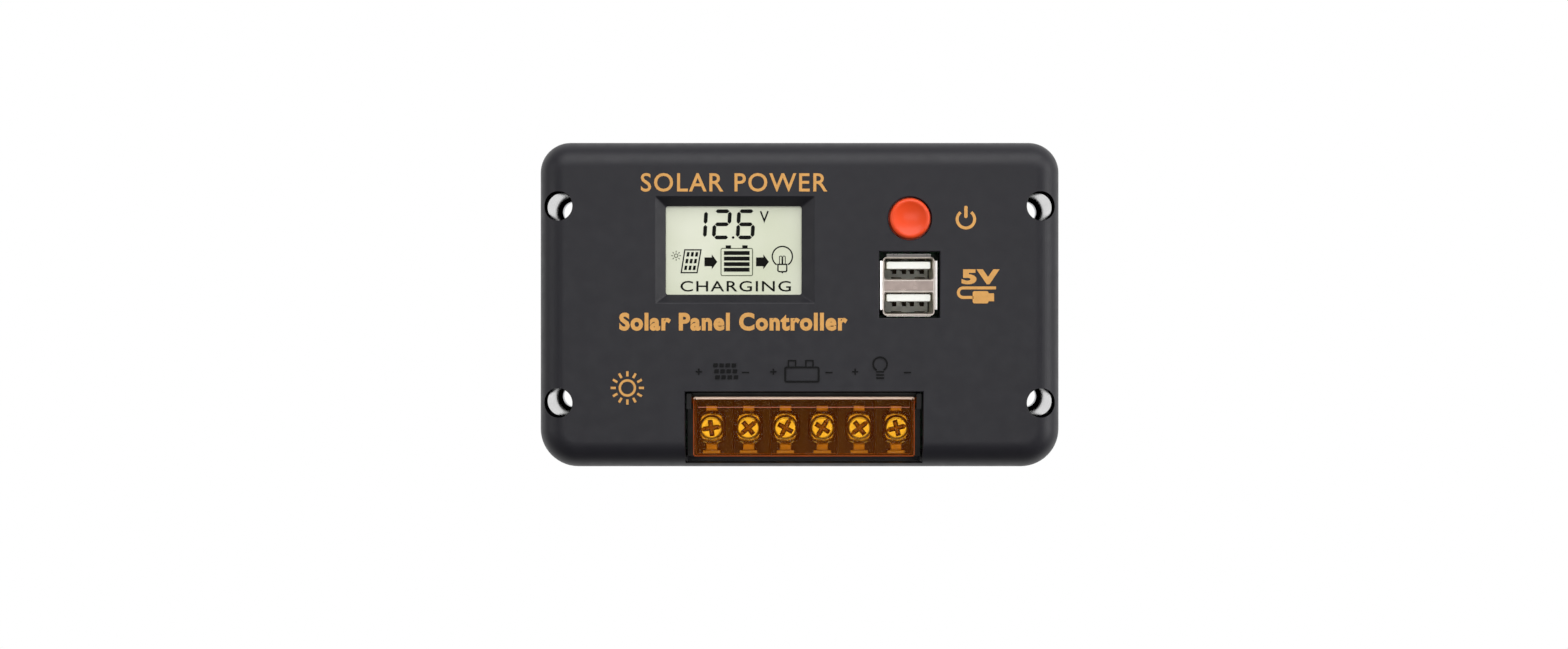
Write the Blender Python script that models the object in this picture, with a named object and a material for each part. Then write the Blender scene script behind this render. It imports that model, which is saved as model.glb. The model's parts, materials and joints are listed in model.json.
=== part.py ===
"""Solar charge controller: a moulded wall-mounted case with display, button, USB and terminals.

Metres, +Z up. The back mounting face lies in the plane Y = 0, the front looks towards -Y.
"""
import math

import bmesh
import bpy
from mathutils import Matrix, Vector

MM = 0.001
GAP = 0.3
OVERSHOOT = 1.0

# Case
CASE_WIDTH = 132.4
CASE_HEIGHT = 82.7
CASE_FRONT = -35.0
WALL = 2.4
EDGE_RADIUS = 7.0
TOP_CORNER_RADIUS = 7.7
BOTTOM_CORNER_RADIUS = 9.7
SHARP_CORNER = 0.5
CORNER_STEPS = 6
EDGE_STEPS = 7
PLATE_THICKNESS = 3.0
PLATE_INSET = 0.5
SHELL_BACK = -PLATE_THICKNESS - GAP
WALL_BACK = CASE_FRONT + WALL
COLUMN_END = WALL_BACK - 0.5

# Mounting bores
BORE_X = 61.0
BORE_TOP_Z = 24.9
BORE_BOTTOM_Z = -24.8
BORE_RADIUS = 3.7
BORE_TUBE_RADIUS = 5.0
BORE_NECK_RADIUS = 4.3
BORE_NECK_SHIFT = 1.0
BORE_SEAT = -6.0
BORE_HOLE_RADIUS = 3.0

# Case screws, driven from the back
CASE_SCREW_X = 56.0
CASE_SCREW_Z = 34.5
CASE_BOSS_RADIUS = 3.5
CASE_SCREW_HEAD_RADIUS = 2.8
CASE_SCREW_SHANK_RADIUS = 1.45
CASE_SCREW_END = -13.0
COUNTERBORE_RADIUS = 3.2
COUNTERBORE_FLOOR = -2.0
SCREW_BEVEL = 0.4
CASE_SCREW_TOP = -0.2
CASE_SLOT_FLOOR = -1.0
CASE_SLOT_HALF_LENGTH = 1.6
CASE_SLOT_HALF_WIDTH = 0.4

# Display
BEZEL_X = -16.3
BEZEL_Z = 13.8
BEZEL_WIDTH = 40.0
BEZEL_HEIGHT = 26.8
DISPLAY_X = -16.7
DISPLAY_Z = 13.7
DISPLAY_WIDTH = 34.4
DISPLAY_HEIGHT = 22.4
GLASS_WIDTH = 40.4
GLASS_HEIGHT = 27.6
GLASS_THICKNESS = 2.2
HOLDER_WIDTH = 42.4
HOLDER_HEIGHT = 28.6
DISPLAY_BOARD_FRONT = -24.6
DISPLAY_BOARD_LEFT = -40.0
DISPLAY_BOARD_RIGHT = 35.5
DISPLAY_BOARD_BOTTOM = -2.0
DISPLAY_BOARD_TOP = 29.5
DISPLAY_BOARD_STEP_X = 19.0
DISPLAY_BOARD_STEP_Z = 15.0
BOARD_THICKNESS = 1.6
HEADER_LEFT = -30.0
HEADER_RIGHT = -10.0
HEADER_BOTTOM = -1.5
HEADER_TOP = 1.0

# Push button
BUTTON_X = 27.8
BUTTON_Z = 21.7
BUTTON_RADIUS = 5.1
BUTTON_HOLE_RADIUS = 5.5
BUTTON_PROUD = 0.8
BUTTON_RIM_RADIUS = 4.3
BUTTON_DISH_DEPTH = 1.0
BUTTON_DISH_STEPS = 4
BUTTON_FLANGE_RADIUS = 6.3
BUTTON_FLANGE_THICKNESS = 0.8
BUTTON_STEM_RADIUS = 2.5
BUTTON_STEM_END = -30.6
PLUNGER_RADIUS = 1.7
PLUNGER_END = -27.7
SWITCH_SIZE = 7.0
SWITCH_FRONT = -28.4
SWITCH_BORE_END = -25.9

# Stacked USB sockets
USB_OPENING_X = 27.7
USB_OPENING_Z = 5.0
USB_OPENING_WIDTH = 15.3
USB_OPENING_HEIGHT = 16.7
USB_X = 27.55
USB_Z = 4.62
USB_WIDTH = 13.1
USB_HEIGHT = 14.85
USB_FRONT = -34.4
USB_LIP_WIDTH = 14.5
USB_LIP_HEIGHT = 15.8
USB_LIP_Z = 4.9
USB_LIP_THICKNESS = 0.3
USB_LIP_FLARE = 1.2
USB_LIP_CORNER = 1.2
USB_CORNER = 0.8
USB_CORNER_STEPS = 2
USB_WALL = 0.5
USB_PORT_HEIGHT = 5.1
USB_PORT_Z = (9.06, 0.4)
USB_DIVIDER_END = -20.5
TONGUE_WIDTH = 11.1
TONGUE_HEIGHT = 1.9
TONGUE_Z = (9.9, 1.7)
TONGUE_FRONT = -33.5

# Terminals
POLES = 6
POLE_PITCH = 9.5
TERMINAL_X = 1.1
TERMINAL_Z = -31.6
WINDOW_WIDTH = 60.1
WINDOW_TOP = -22.0
WINDOW_BOTTOM = -40.2
WINDOW_BACK = -27.0
WIRE_SLOT_BACK = -19.0
BLOCK_WIDTH = 59.3
BLOCK_TOP = -22.5
BLOCK_BOTTOM = -38.6
BLOCK_FRONT = -29.5
CELL_WIDTH = 7.7
CELL_TOP = -24.6
CELL_FLOOR = -22.3
EAR_FRONT = -33.9
EAR_BOTTOM = -26.4
EAR_WIDTH = 1.2
CONTACT_WIDTH = 3.0
CONTACT_TOP = -26.2
CONTACT_BOTTOM = -37.8
CONTACT_FRONT = -23.8
CONTACT_THICKNESS = 1.2
CONTACT_EYE = 3.1
PIN_SIZE = 1.0
PIN_Z = -35.6
PIN_END = -12.6
CLAMP_WIDTH = 7.1
CLAMP_HEIGHT = 8.2
CLAMP_CORNER = 2.0
CLAMP_CORNER_STEPS = 3
CLAMP_BEVEL = 0.3
CLAMP_BACK = -24.1
CLAMP_THICKNESS = 1.2
CLAMP_BORE_RADIUS = 2.3
SCREW_HEAD_RADIUS = 3.0
SCREW_HEAD_BACK = -25.6
SCREW_HEAD_FRONT = -28.0
SCREW_HEAD_CROWN = ((0.5, 0.0), (0.12, 0.25), (0.0, 0.7))
SCREW_SHANK_RADIUS = 1.95
SCREW_BORE_RADIUS = 2.25
SCREW_END = -18.6
RECESS_DEPTH = 1.3
RECESS_WIDTH = 0.9
RECESS_LENGTH = 4.4

# Terminal flap
FLAP_WIDTH = 56.2
FLAP_FRONT = -33.0
FLAP_THICKNESS = 1.6
FLAP_CORNER = 0.6
FLAP_CORNER_STEPS = 2
FLAP_BEVEL = 0.3
FLAP_TOP = -23.3
FLAP_BOTTOM = -38.5
PIVOT_Y = -32.2
PIVOT_Z = -24.2
PIVOT_RADIUS = 0.75
PIVOT_BORE_RADIUS = 1.1
PIVOT_REACH = 0.85

# Boards and inner parts
MAIN_BOARD_FRONT = -15.0
MAIN_BOARD_BACK = MAIN_BOARD_FRONT + BOARD_THICKNESS
PART_BACK = MAIN_BOARD_FRONT - GAP
BOARD_HALF_WIDTH = 51.5
BOARD_TOP = 37.0
BOARD_BOTTOM = -38.0
POST_X = 46.5
POST_Z = 31.5
POST_RADIUS = 3.0
BOARD_SCREW_HEAD_RADIUS = 2.5
BOARD_SCREW_SHANK_RADIUS = 1.25
BOARD_SCREW_END = -21.0
BOARD_SCREW_HEAD_HEIGHT = 1.6
SPREADER_THICKNESS = 3.0
SPREADER_HALF_WIDTH = 32.0
SPREADER_BOTTOM = -12.0
SPREADER_TOP = 10.0
TRANSISTOR_X = (-22.5, -7.5, 7.5, 22.5)
TRANSISTOR_HALF_WIDTH = 5.0
TRANSISTOR_THICKNESS = 4.4
TRANSISTOR_BOTTOM = -9.0
TRANSISTOR_TOP = 7.0
LEG_OFFSETS = (-2.54, 0.0, 2.54)
LEG_HALF = 0.4
LEG_FRONT = -9.6
LEG_BACK = -8.8
LEG_BEND_BACK = -9.0
LEG_FOOT_TOP = -11.2
LEG_TOP = -8.0
LEG_END = -12.0
CAPACITORS = ((43.5, 14.0), (43.5, 1.0), (-45.0, 12.0))
CAPACITOR_RADIUS = 5.0
CAPACITOR_HEIGHT = 16.0
CAPACITOR_BEVEL = 0.8
CAPACITOR_GROOVE_DEPTH = 0.4
CAPACITOR_GROOVE_EDGES = (1.4, 1.9, 2.4)
INDUCTOR_X = -45.0
INDUCTOR_Z = -10.0
INDUCTOR_HEIGHT = 9.0
INDUCTOR_FLANGE_RADIUS = 6.0
INDUCTOR_FLANGE_THICKNESS = 1.6
INDUCTOR_WAIST_RADIUS = 3.2
WINDING_RADIUS = 5.4
CONTROLLER_CHIP = (-25.0, -15.0, -17.0, -7.0, 1.4)
CONVERTER_CHIP = (8.0, 14.0, -14.0, -9.0, 1.5)
FUSE = (41.0, 46.0, -24.0, -8.0, 12.0)

FINE = 40
MEDIUM = 24
COARSE = 16


def clear_scene():
    """Remove every object of the scene."""
    for item in list(bpy.data.objects):
        bpy.data.objects.remove(item, do_unlink=True)


def linear(value):
    """Convert one 0-255 display value to a linear colour value."""
    share = value / 255.0
    if share <= 0.04045:
        return share / 12.92
    return ((share + 0.055) / 1.055) ** 2.4


def make_material(name, colour, roughness, metallic, alpha=1.0):
    """Principled material with the given colour (0-255), roughness and metallic value."""
    material = bpy.data.materials.new(name)
    material.use_nodes = True
    shader = material.node_tree.nodes["Principled BSDF"]
    red, green, blue = (linear(channel) for channel in colour)
    shader.inputs["Base Color"].default_value = (red, green, blue, 1.0)
    shader.inputs["Roughness"].default_value = roughness
    shader.inputs["Metallic"].default_value = metallic
    shader.inputs["Alpha"].default_value = alpha
    material.diffuse_color = (red, green, blue, alpha)
    return material


def case_material(name):
    return make_material(name, (54, 53, 58), 0.45, 0.0)


def block_material(name):
    return make_material(name, (32, 31, 32), 0.5, 0.0)


def nickel_material(name):
    return make_material(name, (196, 188, 172), 0.25, 1.0)


def brass_material(name):
    return make_material(name, (214, 178, 98), 0.3, 1.0)


def steel_material(name):
    return make_material(name, (180, 180, 184), 0.3, 1.0)


def aluminium_material(name):
    return make_material(name, (172, 174, 178), 0.4, 1.0)


def board_material(name):
    return make_material(name, (28, 82, 48), 0.5, 0.0)


def chip_material(name):
    return make_material(name, (34, 34, 36), 0.55, 0.0)


def white_material(name):
    return make_material(name, (232, 230, 222), 0.5, 0.0)


def sleeve_material(name):
    return make_material(name, (38, 44, 78), 0.4, 0.0)


def circle(x, z, radius, steps):
    """Points of a circle in the XZ plane."""
    points = []
    for step in range(steps):
        angle = 2.0 * math.pi * step / steps
        points.append((x + radius * math.cos(angle), z + radius * math.sin(angle)))
    return points


def rectangle(x, z, width, height):
    """Corner points of a rectangle in the XZ plane."""
    half_w = width / 2.0
    half_h = height / 2.0
    return [
        (x - half_w, z - half_h),
        (x + half_w, z - half_h),
        (x + half_w, z + half_h),
        (x - half_w, z + half_h),
    ]


def rounded(x, z, width, height, top_radius, bottom_radius, steps):
    """Points of a rectangle with rounded corners in the XZ plane, counter-clockwise."""
    half_w = width / 2.0
    half_h = height / 2.0
    corners = (
        (1.0, 1.0, top_radius, 0.0),
        (-1.0, 1.0, top_radius, 90.0),
        (-1.0, -1.0, bottom_radius, 180.0),
        (1.0, -1.0, bottom_radius, 270.0),
    )
    points = []
    for side_x, side_z, radius, start in corners:
        centre_x = x + side_x * (half_w - radius)
        centre_z = z + side_z * (half_h - radius)
        for step in range(steps + 1):
            angle = math.radians(start + 90.0 * step / steps)
            points.append((centre_x + radius * math.cos(angle), centre_z + radius * math.sin(angle)))
    return points


def loft(bm, sections):
    """Closed body through (points, y) sections that all have the same number of points."""
    rings = []
    for points, y in sections:
        rings.append([bm.verts.new((x * MM, y * MM, z * MM)) for x, z in points])
    count = len(rings[0])
    for near, far in zip(rings, rings[1:]):
        for i in range(count):
            j = (i + 1) % count
            bm.faces.new((near[i], near[j], far[j], far[i]))
    bm.faces.new(rings[0])
    bm.faces.new(rings[-1])


def prism(bm, points, y_a, y_b):
    """Straight body between two Y planes."""
    loft(bm, [(points, y_a), (points, y_b)])


def box(bm, x_a, x_b, y_a, y_b, z_a, z_b):
    """Rectangular body between the given planes."""
    prism(bm, [(x_a, z_a), (x_b, z_a), (x_b, z_b), (x_a, z_b)], y_a, y_b)


def rod(bm, x, z, radius, y_a, y_b, steps):
    """Round body along Y."""
    prism(bm, circle(x, z, radius, steps), y_a, y_b)


def turned(bm, x, z, profile, steps):
    """Round body along Y through (radius, y) pairs."""
    loft(bm, [(circle(x, z, radius, steps), y) for radius, y in profile])


def finish_mesh(bm, name):
    """Write the bmesh to a named mesh with outward normals."""
    bmesh.ops.recalc_face_normals(bm, faces=bm.faces)
    mesh = bpy.data.meshes.new(name)
    bm.to_mesh(mesh)
    bm.free()
    return mesh


def add_object(name, bm, material):
    """Link a new object made from the bmesh."""
    item = bpy.data.objects.new(name, finish_mesh(bm, name))
    item.data.materials.append(material)
    bpy.context.scene.collection.objects.link(item)
    return item


def combine(target, bm, operation):
    """Join or cut the target with the body in the bmesh."""
    tool = bpy.data.objects.new("tool", finish_mesh(bm, "tool"))
    bpy.context.scene.collection.objects.link(tool)
    tool.hide_render = True
    tool.display_type = "WIRE"
    modifier = target.modifiers.new("Combine", "BOOLEAN")
    modifier.operation = operation
    modifier.solver = "EXACT"
    modifier.object = tool
    graph = bpy.context.evaluated_depsgraph_get()
    mesh = bpy.data.meshes.new_from_object(target.evaluated_get(graph))
    target.modifiers.remove(modifier)
    mesh.name = target.name
    target.data = mesh
    bpy.data.objects.remove(tool, do_unlink=True)


def smooth_round(item, angle=35.0):
    """Shade smooth, keeping edges sharper than the angle."""
    bm = bmesh.new()
    bm.from_mesh(item.data)
    limit = math.radians(angle)
    for face in bm.faces:
        face.smooth = True
    for edge in bm.edges:
        edge.smooth = len(edge.link_faces) == 2 and edge.calc_face_angle() < limit
    bm.to_mesh(item.data)
    bm.free()


def set_origin(item, x, y, z):
    """Move the object's origin to a point without moving its shape."""
    point = Vector((x * MM, y * MM, z * MM))
    item.data.transform(Matrix.Translation(-point))
    item.location = point


def corner_points(x, z):
    """The four points mirrored about both middle planes, from top left, clockwise."""
    return ((-x, z), (x, z), (x, -z), (-x, -z))


def bore_points():
    """Centres of the four mounting bores."""
    return (
        (-BORE_X, BORE_TOP_Z),
        (BORE_X, BORE_TOP_Z),
        (BORE_X, BORE_BOTTOM_Z),
        (-BORE_X, BORE_BOTTOM_Z),
    )


def pole_x(index):
    """Centre of one terminal pole."""
    return TERMINAL_X + (index - (POLES - 1) / 2.0) * POLE_PITCH


def outline(inset):
    """Case outline moved inwards by the inset."""
    top = max(TOP_CORNER_RADIUS - inset, SHARP_CORNER)
    bottom = max(BOTTOM_CORNER_RADIUS - inset, SHARP_CORNER)
    width = CASE_WIDTH - 2.0 * inset
    height = CASE_HEIGHT - 2.0 * inset
    return rounded(0.0, 0.0, width, height, top, bottom, CORNER_STEPS)


def edge_sections(offset):
    """Sections of the rounded front edge, from the side wall to the front face."""
    radius = EDGE_RADIUS - offset
    sections = []
    for step in range(EDGE_STEPS + 1):
        angle = math.radians(90.0 * step / EDGE_STEPS)
        inset = EDGE_RADIUS - radius * math.cos(angle)
        y = CASE_FRONT + EDGE_RADIUS - radius * math.sin(angle)
        sections.append((outline(inset), y))
    return sections


def make_front_shell():
    """Moulded case: front wall, side walls, bore tubes, bosses and every opening."""
    bm = bmesh.new()
    inner = edge_sections(WALL)[::-1] + [(outline(WALL), SHELL_BACK)]
    outer = [(outline(0.0), SHELL_BACK)] + edge_sections(0.0)
    loft(bm, inner + outer)
    shell = add_object("front_shell", bm, case_material("case_plastic"))
    add_shell_columns(shell)
    cut_shell_openings(shell)
    cut_shell_holes(shell)
    smooth_round(shell)
    return shell


def add_shell_columns(shell):
    """Bore tubes, case screw bosses and board posts behind the front wall."""
    bend = CASE_FRONT + EDGE_RADIUS
    bm = bmesh.new()
    for x, z in bore_points():
        rod(bm, x, z, BORE_TUBE_RADIUS, SHELL_BACK, bend, MEDIUM)
    combine(shell, bm, "UNION")
    bm = bmesh.new()
    for x, z in bore_points():
        neck_x = x - math.copysign(BORE_NECK_SHIFT, x)
        rod(bm, neck_x, z, BORE_NECK_RADIUS, bend + OVERSHOOT, COLUMN_END, MEDIUM)
    combine(shell, bm, "UNION")
    bm = bmesh.new()
    for x, z in corner_points(CASE_SCREW_X, CASE_SCREW_Z):
        rod(bm, x, z, CASE_BOSS_RADIUS, SHELL_BACK, COLUMN_END, COARSE)
    for x, z in corner_points(POST_X, POST_Z):
        rod(bm, x, z, POST_RADIUS, PART_BACK, COLUMN_END, COARSE)
    combine(shell, bm, "UNION")


def cut_shell_openings(shell):
    """Bezel, USB opening, terminal window and wire slot."""
    bm = bmesh.new()
    deep = WALL_BACK + OVERSHOOT
    front = CASE_FRONT - OVERSHOOT
    slope = OVERSHOOT / WALL
    narrow = rectangle(DISPLAY_X, DISPLAY_Z, DISPLAY_WIDTH, DISPLAY_HEIGHT)
    wide = rectangle(BEZEL_X, BEZEL_Z, BEZEL_WIDTH, BEZEL_HEIGHT)
    flared = []
    for (near_x, near_z), (far_x, far_z) in zip(narrow, wide):
        flared.append((far_x + (far_x - near_x) * slope, far_z + (far_z - near_z) * slope))
    loft(bm, [(narrow, deep), (narrow, WALL_BACK), (flared, front)])
    prism(bm, rectangle(USB_OPENING_X, USB_OPENING_Z, USB_OPENING_WIDTH, USB_OPENING_HEIGHT), front, deep)
    rod(bm, BUTTON_X, BUTTON_Z, BUTTON_HOLE_RADIUS, front, deep, FINE)
    left = TERMINAL_X - WINDOW_WIDTH / 2.0
    right = TERMINAL_X + WINDOW_WIDTH / 2.0
    box(bm, left, right, front, WINDOW_BACK, WINDOW_BOTTOM, WINDOW_TOP)
    combine(shell, bm, "DIFFERENCE")
    bm = bmesh.new()
    below = -CASE_HEIGHT / 2.0 - OVERSHOOT
    box(bm, left, right, WINDOW_BACK, WIRE_SLOT_BACK, below, BLOCK_BOTTOM)
    combine(shell, bm, "DIFFERENCE")


def cut_shell_holes(shell):
    """Mounting bores with their seats, and pilot holes of the bosses and posts."""
    bm = bmesh.new()
    for x, z in bore_points():
        profile = (
            (BORE_HOLE_RADIUS, SHELL_BACK + OVERSHOOT),
            (BORE_HOLE_RADIUS, BORE_SEAT),
            (BORE_RADIUS, BORE_SEAT),
            (BORE_RADIUS, CASE_FRONT - OVERSHOOT),
        )
        turned(bm, x, z, profile, FINE)
    for x, z in corner_points(CASE_SCREW_X, CASE_SCREW_Z):
        pilot = CASE_SCREW_SHANK_RADIUS + GAP
        rod(bm, x, z, pilot, SHELL_BACK + OVERSHOOT, CASE_SCREW_END - OVERSHOOT, COARSE)
    for x, z in corner_points(POST_X, POST_Z):
        pilot = BOARD_SCREW_SHANK_RADIUS + GAP
        rod(bm, x, z, pilot, PART_BACK + OVERSHOOT, BOARD_SCREW_END - OVERSHOOT, COARSE)
    combine(shell, bm, "DIFFERENCE")


def make_back_plate():
    """Aluminium plate that closes the case and lies on the wall."""
    bm = bmesh.new()
    prism(bm, outline(PLATE_INSET), -PLATE_THICKNESS, 0.0)
    plate = add_object("back_plate", bm, aluminium_material("back_plate_aluminium"))
    bm = bmesh.new()
    for x, z in bore_points():
        rod(bm, x, z, BORE_HOLE_RADIUS, -PLATE_THICKNESS - OVERSHOOT, OVERSHOOT, MEDIUM)
    for x, z in corner_points(CASE_SCREW_X, CASE_SCREW_Z):
        profile = (
            (COUNTERBORE_RADIUS, OVERSHOOT),
            (COUNTERBORE_RADIUS, COUNTERBORE_FLOOR),
            (CASE_SCREW_SHANK_RADIUS + GAP, COUNTERBORE_FLOOR),
            (CASE_SCREW_SHANK_RADIUS + GAP, -PLATE_THICKNESS - OVERSHOOT),
        )
        turned(bm, x, z, profile, COARSE)
    combine(plate, bm, "DIFFERENCE")
    smooth_round(plate)


def make_case_screws():
    """Four screws from the back, sunk below the mounting face."""
    seat = COUNTERBORE_FLOOR + GAP
    for index, (x, z) in enumerate(corner_points(CASE_SCREW_X, CASE_SCREW_Z)):
        bm = bmesh.new()
        profile = (
            (CASE_SCREW_HEAD_RADIUS - SCREW_BEVEL, CASE_SCREW_TOP),
            (CASE_SCREW_HEAD_RADIUS, CASE_SCREW_TOP - SCREW_BEVEL),
            (CASE_SCREW_HEAD_RADIUS, seat),
            (CASE_SCREW_SHANK_RADIUS, seat),
            (CASE_SCREW_SHANK_RADIUS, CASE_SCREW_END),
        )
        turned(bm, x, z, profile, COARSE)
        name = "case_screw_%d" % (index + 1)
        screw = add_object(name, bm, steel_material(name + "_steel"))
        bm = bmesh.new()
        slot = rectangle(x, z, 2.0 * CASE_SLOT_HALF_LENGTH, 2.0 * CASE_SLOT_HALF_WIDTH)
        prism(bm, slot, CASE_SLOT_FLOOR, OVERSHOOT)
        combine(screw, bm, "DIFFERENCE")
        smooth_round(screw)


def make_main_board():
    """Main circuit board with holes for its screws and the terminal pins."""
    bm = bmesh.new()
    centre_z = (BOARD_TOP + BOARD_BOTTOM) / 2.0
    points = rectangle(0.0, centre_z, 2.0 * BOARD_HALF_WIDTH, BOARD_TOP - BOARD_BOTTOM)
    prism(bm, points, MAIN_BOARD_FRONT, MAIN_BOARD_BACK)
    board = add_object("main_board", bm, board_material("board_laminate"))
    bm = bmesh.new()
    front = MAIN_BOARD_FRONT - OVERSHOOT
    back = MAIN_BOARD_BACK + OVERSHOOT
    for x, z in corner_points(POST_X, POST_Z):
        rod(bm, x, z, BOARD_SCREW_SHANK_RADIUS + GAP, front, back, COARSE)
    for index in range(POLES):
        half = PIN_SIZE / 2.0 + GAP
        x = pole_x(index)
        box(bm, x - half, x + half, front, back, PIN_Z - half, PIN_Z + half)
    combine(board, bm, "DIFFERENCE")


def make_board_screws():
    """Four screws that hold the main board on its posts."""
    seat = MAIN_BOARD_BACK + GAP
    for index, (x, z) in enumerate(corner_points(POST_X, POST_Z)):
        bm = bmesh.new()
        profile = (
            (BOARD_SCREW_HEAD_RADIUS - SCREW_BEVEL, seat + BOARD_SCREW_HEAD_HEIGHT),
            (BOARD_SCREW_HEAD_RADIUS, seat + BOARD_SCREW_HEAD_HEIGHT - SCREW_BEVEL),
            (BOARD_SCREW_HEAD_RADIUS, seat),
            (BOARD_SCREW_SHANK_RADIUS, seat),
            (BOARD_SCREW_SHANK_RADIUS, BOARD_SCREW_END),
        )
        turned(bm, x, z, profile, COARSE)
        name = "board_screw_%d" % (index + 1)
        smooth_round(add_object(name, bm, steel_material(name + "_steel")))


def make_display():
    """Display glass, its holder with the backlight, the display board and the pin header."""
    glass_front = WALL_BACK + GAP
    glass_back = glass_front + GLASS_THICKNESS
    bm = bmesh.new()
    prism(bm, rectangle(BEZEL_X, BEZEL_Z, GLASS_WIDTH, GLASS_HEIGHT), glass_front, glass_back)
    add_object("display_glass", bm, make_material("display_glass_clear", (224, 227, 204), 0.1, 0.0))
    bm = bmesh.new()
    holder = rectangle(BEZEL_X, BEZEL_Z, HOLDER_WIDTH, HOLDER_HEIGHT)
    prism(bm, holder, glass_back + GAP, DISPLAY_BOARD_FRONT - GAP)
    add_object("display_holder", bm, white_material("display_holder_plastic"))
    bm = bmesh.new()
    points = [
        (DISPLAY_BOARD_LEFT, DISPLAY_BOARD_BOTTOM),
        (DISPLAY_BOARD_STEP_X, DISPLAY_BOARD_BOTTOM),
        (DISPLAY_BOARD_STEP_X, DISPLAY_BOARD_STEP_Z),
        (DISPLAY_BOARD_RIGHT, DISPLAY_BOARD_STEP_Z),
        (DISPLAY_BOARD_RIGHT, DISPLAY_BOARD_TOP),
        (DISPLAY_BOARD_LEFT, DISPLAY_BOARD_TOP),
    ]
    prism(bm, points, DISPLAY_BOARD_FRONT, DISPLAY_BOARD_FRONT + BOARD_THICKNESS)
    add_object("display_board", bm, board_material("display_board_laminate"))
    bm = bmesh.new()
    header_front = DISPLAY_BOARD_FRONT + BOARD_THICKNESS + GAP
    box(bm, HEADER_LEFT, HEADER_RIGHT, header_front, PART_BACK, HEADER_BOTTOM, HEADER_TOP)
    add_object("board_header", bm, chip_material("board_header_plastic"))


def make_button():
    """Button cap with a dished top, a flange behind the front wall and a stem."""
    front = CASE_FRONT - BUTTON_PROUD
    flange_front = WALL_BACK + GAP
    flange_back = flange_front + BUTTON_FLANGE_THICKNESS
    profile = []
    for step in range(1, BUTTON_DISH_STEPS + 1):
        share = step / BUTTON_DISH_STEPS
        profile.append((BUTTON_RIM_RADIUS * share, front + BUTTON_DISH_DEPTH * (1.0 - share * share)))
    edge = BUTTON_RADIUS - BUTTON_RIM_RADIUS
    for step in range(1, BUTTON_DISH_STEPS + 1):
        angle = math.radians(90.0 * step / BUTTON_DISH_STEPS)
        across = BUTTON_RIM_RADIUS + edge * math.sin(angle)
        profile.append((across, front + edge * (1.0 - math.cos(angle))))
    profile += [
        (BUTTON_RADIUS, flange_front),
        (BUTTON_FLANGE_RADIUS, flange_front),
        (BUTTON_FLANGE_RADIUS, flange_back),
        (BUTTON_STEM_RADIUS, flange_back),
        (BUTTON_STEM_RADIUS, BUTTON_STEM_END),
    ]
    bm = bmesh.new()
    turned(bm, BUTTON_X, BUTTON_Z, profile, FINE)
    cap = add_object("button_cap", bm, make_material("button_orange", (228, 80, 42), 0.4, 0.0))
    smooth_round(cap)
    set_origin(cap, BUTTON_X, CASE_FRONT, BUTTON_Z)


def make_switch():
    """Tactile switch body and the plunger that the button pushes."""
    bm = bmesh.new()
    back = DISPLAY_BOARD_FRONT - GAP
    prism(bm, rectangle(BUTTON_X, BUTTON_Z, SWITCH_SIZE, SWITCH_SIZE), SWITCH_FRONT, back)
    body = add_object("switch_body", bm, chip_material("switch_body_plastic"))
    bm = bmesh.new()
    bore = PLUNGER_RADIUS + GAP
    rod(bm, BUTTON_X, BUTTON_Z, bore, SWITCH_FRONT - OVERSHOOT, SWITCH_BORE_END, COARSE)
    combine(body, bm, "DIFFERENCE")
    bm = bmesh.new()
    rod(bm, BUTTON_X, BUTTON_Z, PLUNGER_RADIUS, BUTTON_STEM_END + GAP, PLUNGER_END, COARSE)
    plunger = add_object("switch_plunger", bm, white_material("switch_plunger_plastic"))
    smooth_round(plunger)
    set_origin(plunger, BUTTON_X, CASE_FRONT, BUTTON_Z)


def make_usb_shell():
    """Metal shell of the stacked sockets: two ports, a divider and flared lips."""
    corner = USB_CORNER
    body = rounded(USB_X, USB_Z, USB_WIDTH, USB_HEIGHT, corner, corner, USB_CORNER_STEPS)
    corner = USB_LIP_CORNER
    lip = rounded(USB_X, USB_LIP_Z, USB_LIP_WIDTH, USB_LIP_HEIGHT, corner, corner, USB_CORNER_STEPS)
    sections = [
        (lip, USB_FRONT),
        (lip, USB_FRONT + USB_LIP_THICKNESS),
        (body, USB_FRONT + USB_LIP_FLARE),
        (body, PART_BACK),
    ]
    bm = bmesh.new()
    loft(bm, sections)
    shell = add_object("usb_shell", bm, nickel_material("usb_nickel"))
    inner_width = USB_WIDTH - 2.0 * USB_WALL
    bm = bmesh.new()
    for z in USB_PORT_Z:
        port = rectangle(USB_X, z, inner_width, USB_PORT_HEIGHT)
        prism(bm, port, USB_FRONT - OVERSHOOT, USB_DIVIDER_END)
    combine(shell, bm, "DIFFERENCE")
    bm = bmesh.new()
    inner_height = USB_HEIGHT - 2.0 * USB_WALL
    prism(bm, rectangle(USB_X, USB_Z, inner_width, inner_height), USB_DIVIDER_END, PART_BACK + OVERSHOOT)
    combine(shell, bm, "DIFFERENCE")
    smooth_round(shell)


def make_usb_insulator():
    """White insulator: a rear block with one contact tongue per port."""
    rear_front = USB_DIVIDER_END + GAP
    width = USB_WIDTH - 2.0 * USB_WALL - 2.0 * GAP
    height = USB_HEIGHT - 2.0 * USB_WALL - 2.0 * GAP
    bm = bmesh.new()
    prism(bm, rectangle(USB_X, USB_Z, width, height), rear_front, PART_BACK)
    insulator = add_object("usb_insulator", bm, white_material("usb_insulator_plastic"))
    bm = bmesh.new()
    for z in TONGUE_Z:
        tongue = rectangle(USB_X, z, TONGUE_WIDTH, TONGUE_HEIGHT)
        prism(bm, tongue, TONGUE_FRONT, rear_front + OVERSHOOT)
    combine(insulator, bm, "UNION")


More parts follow.
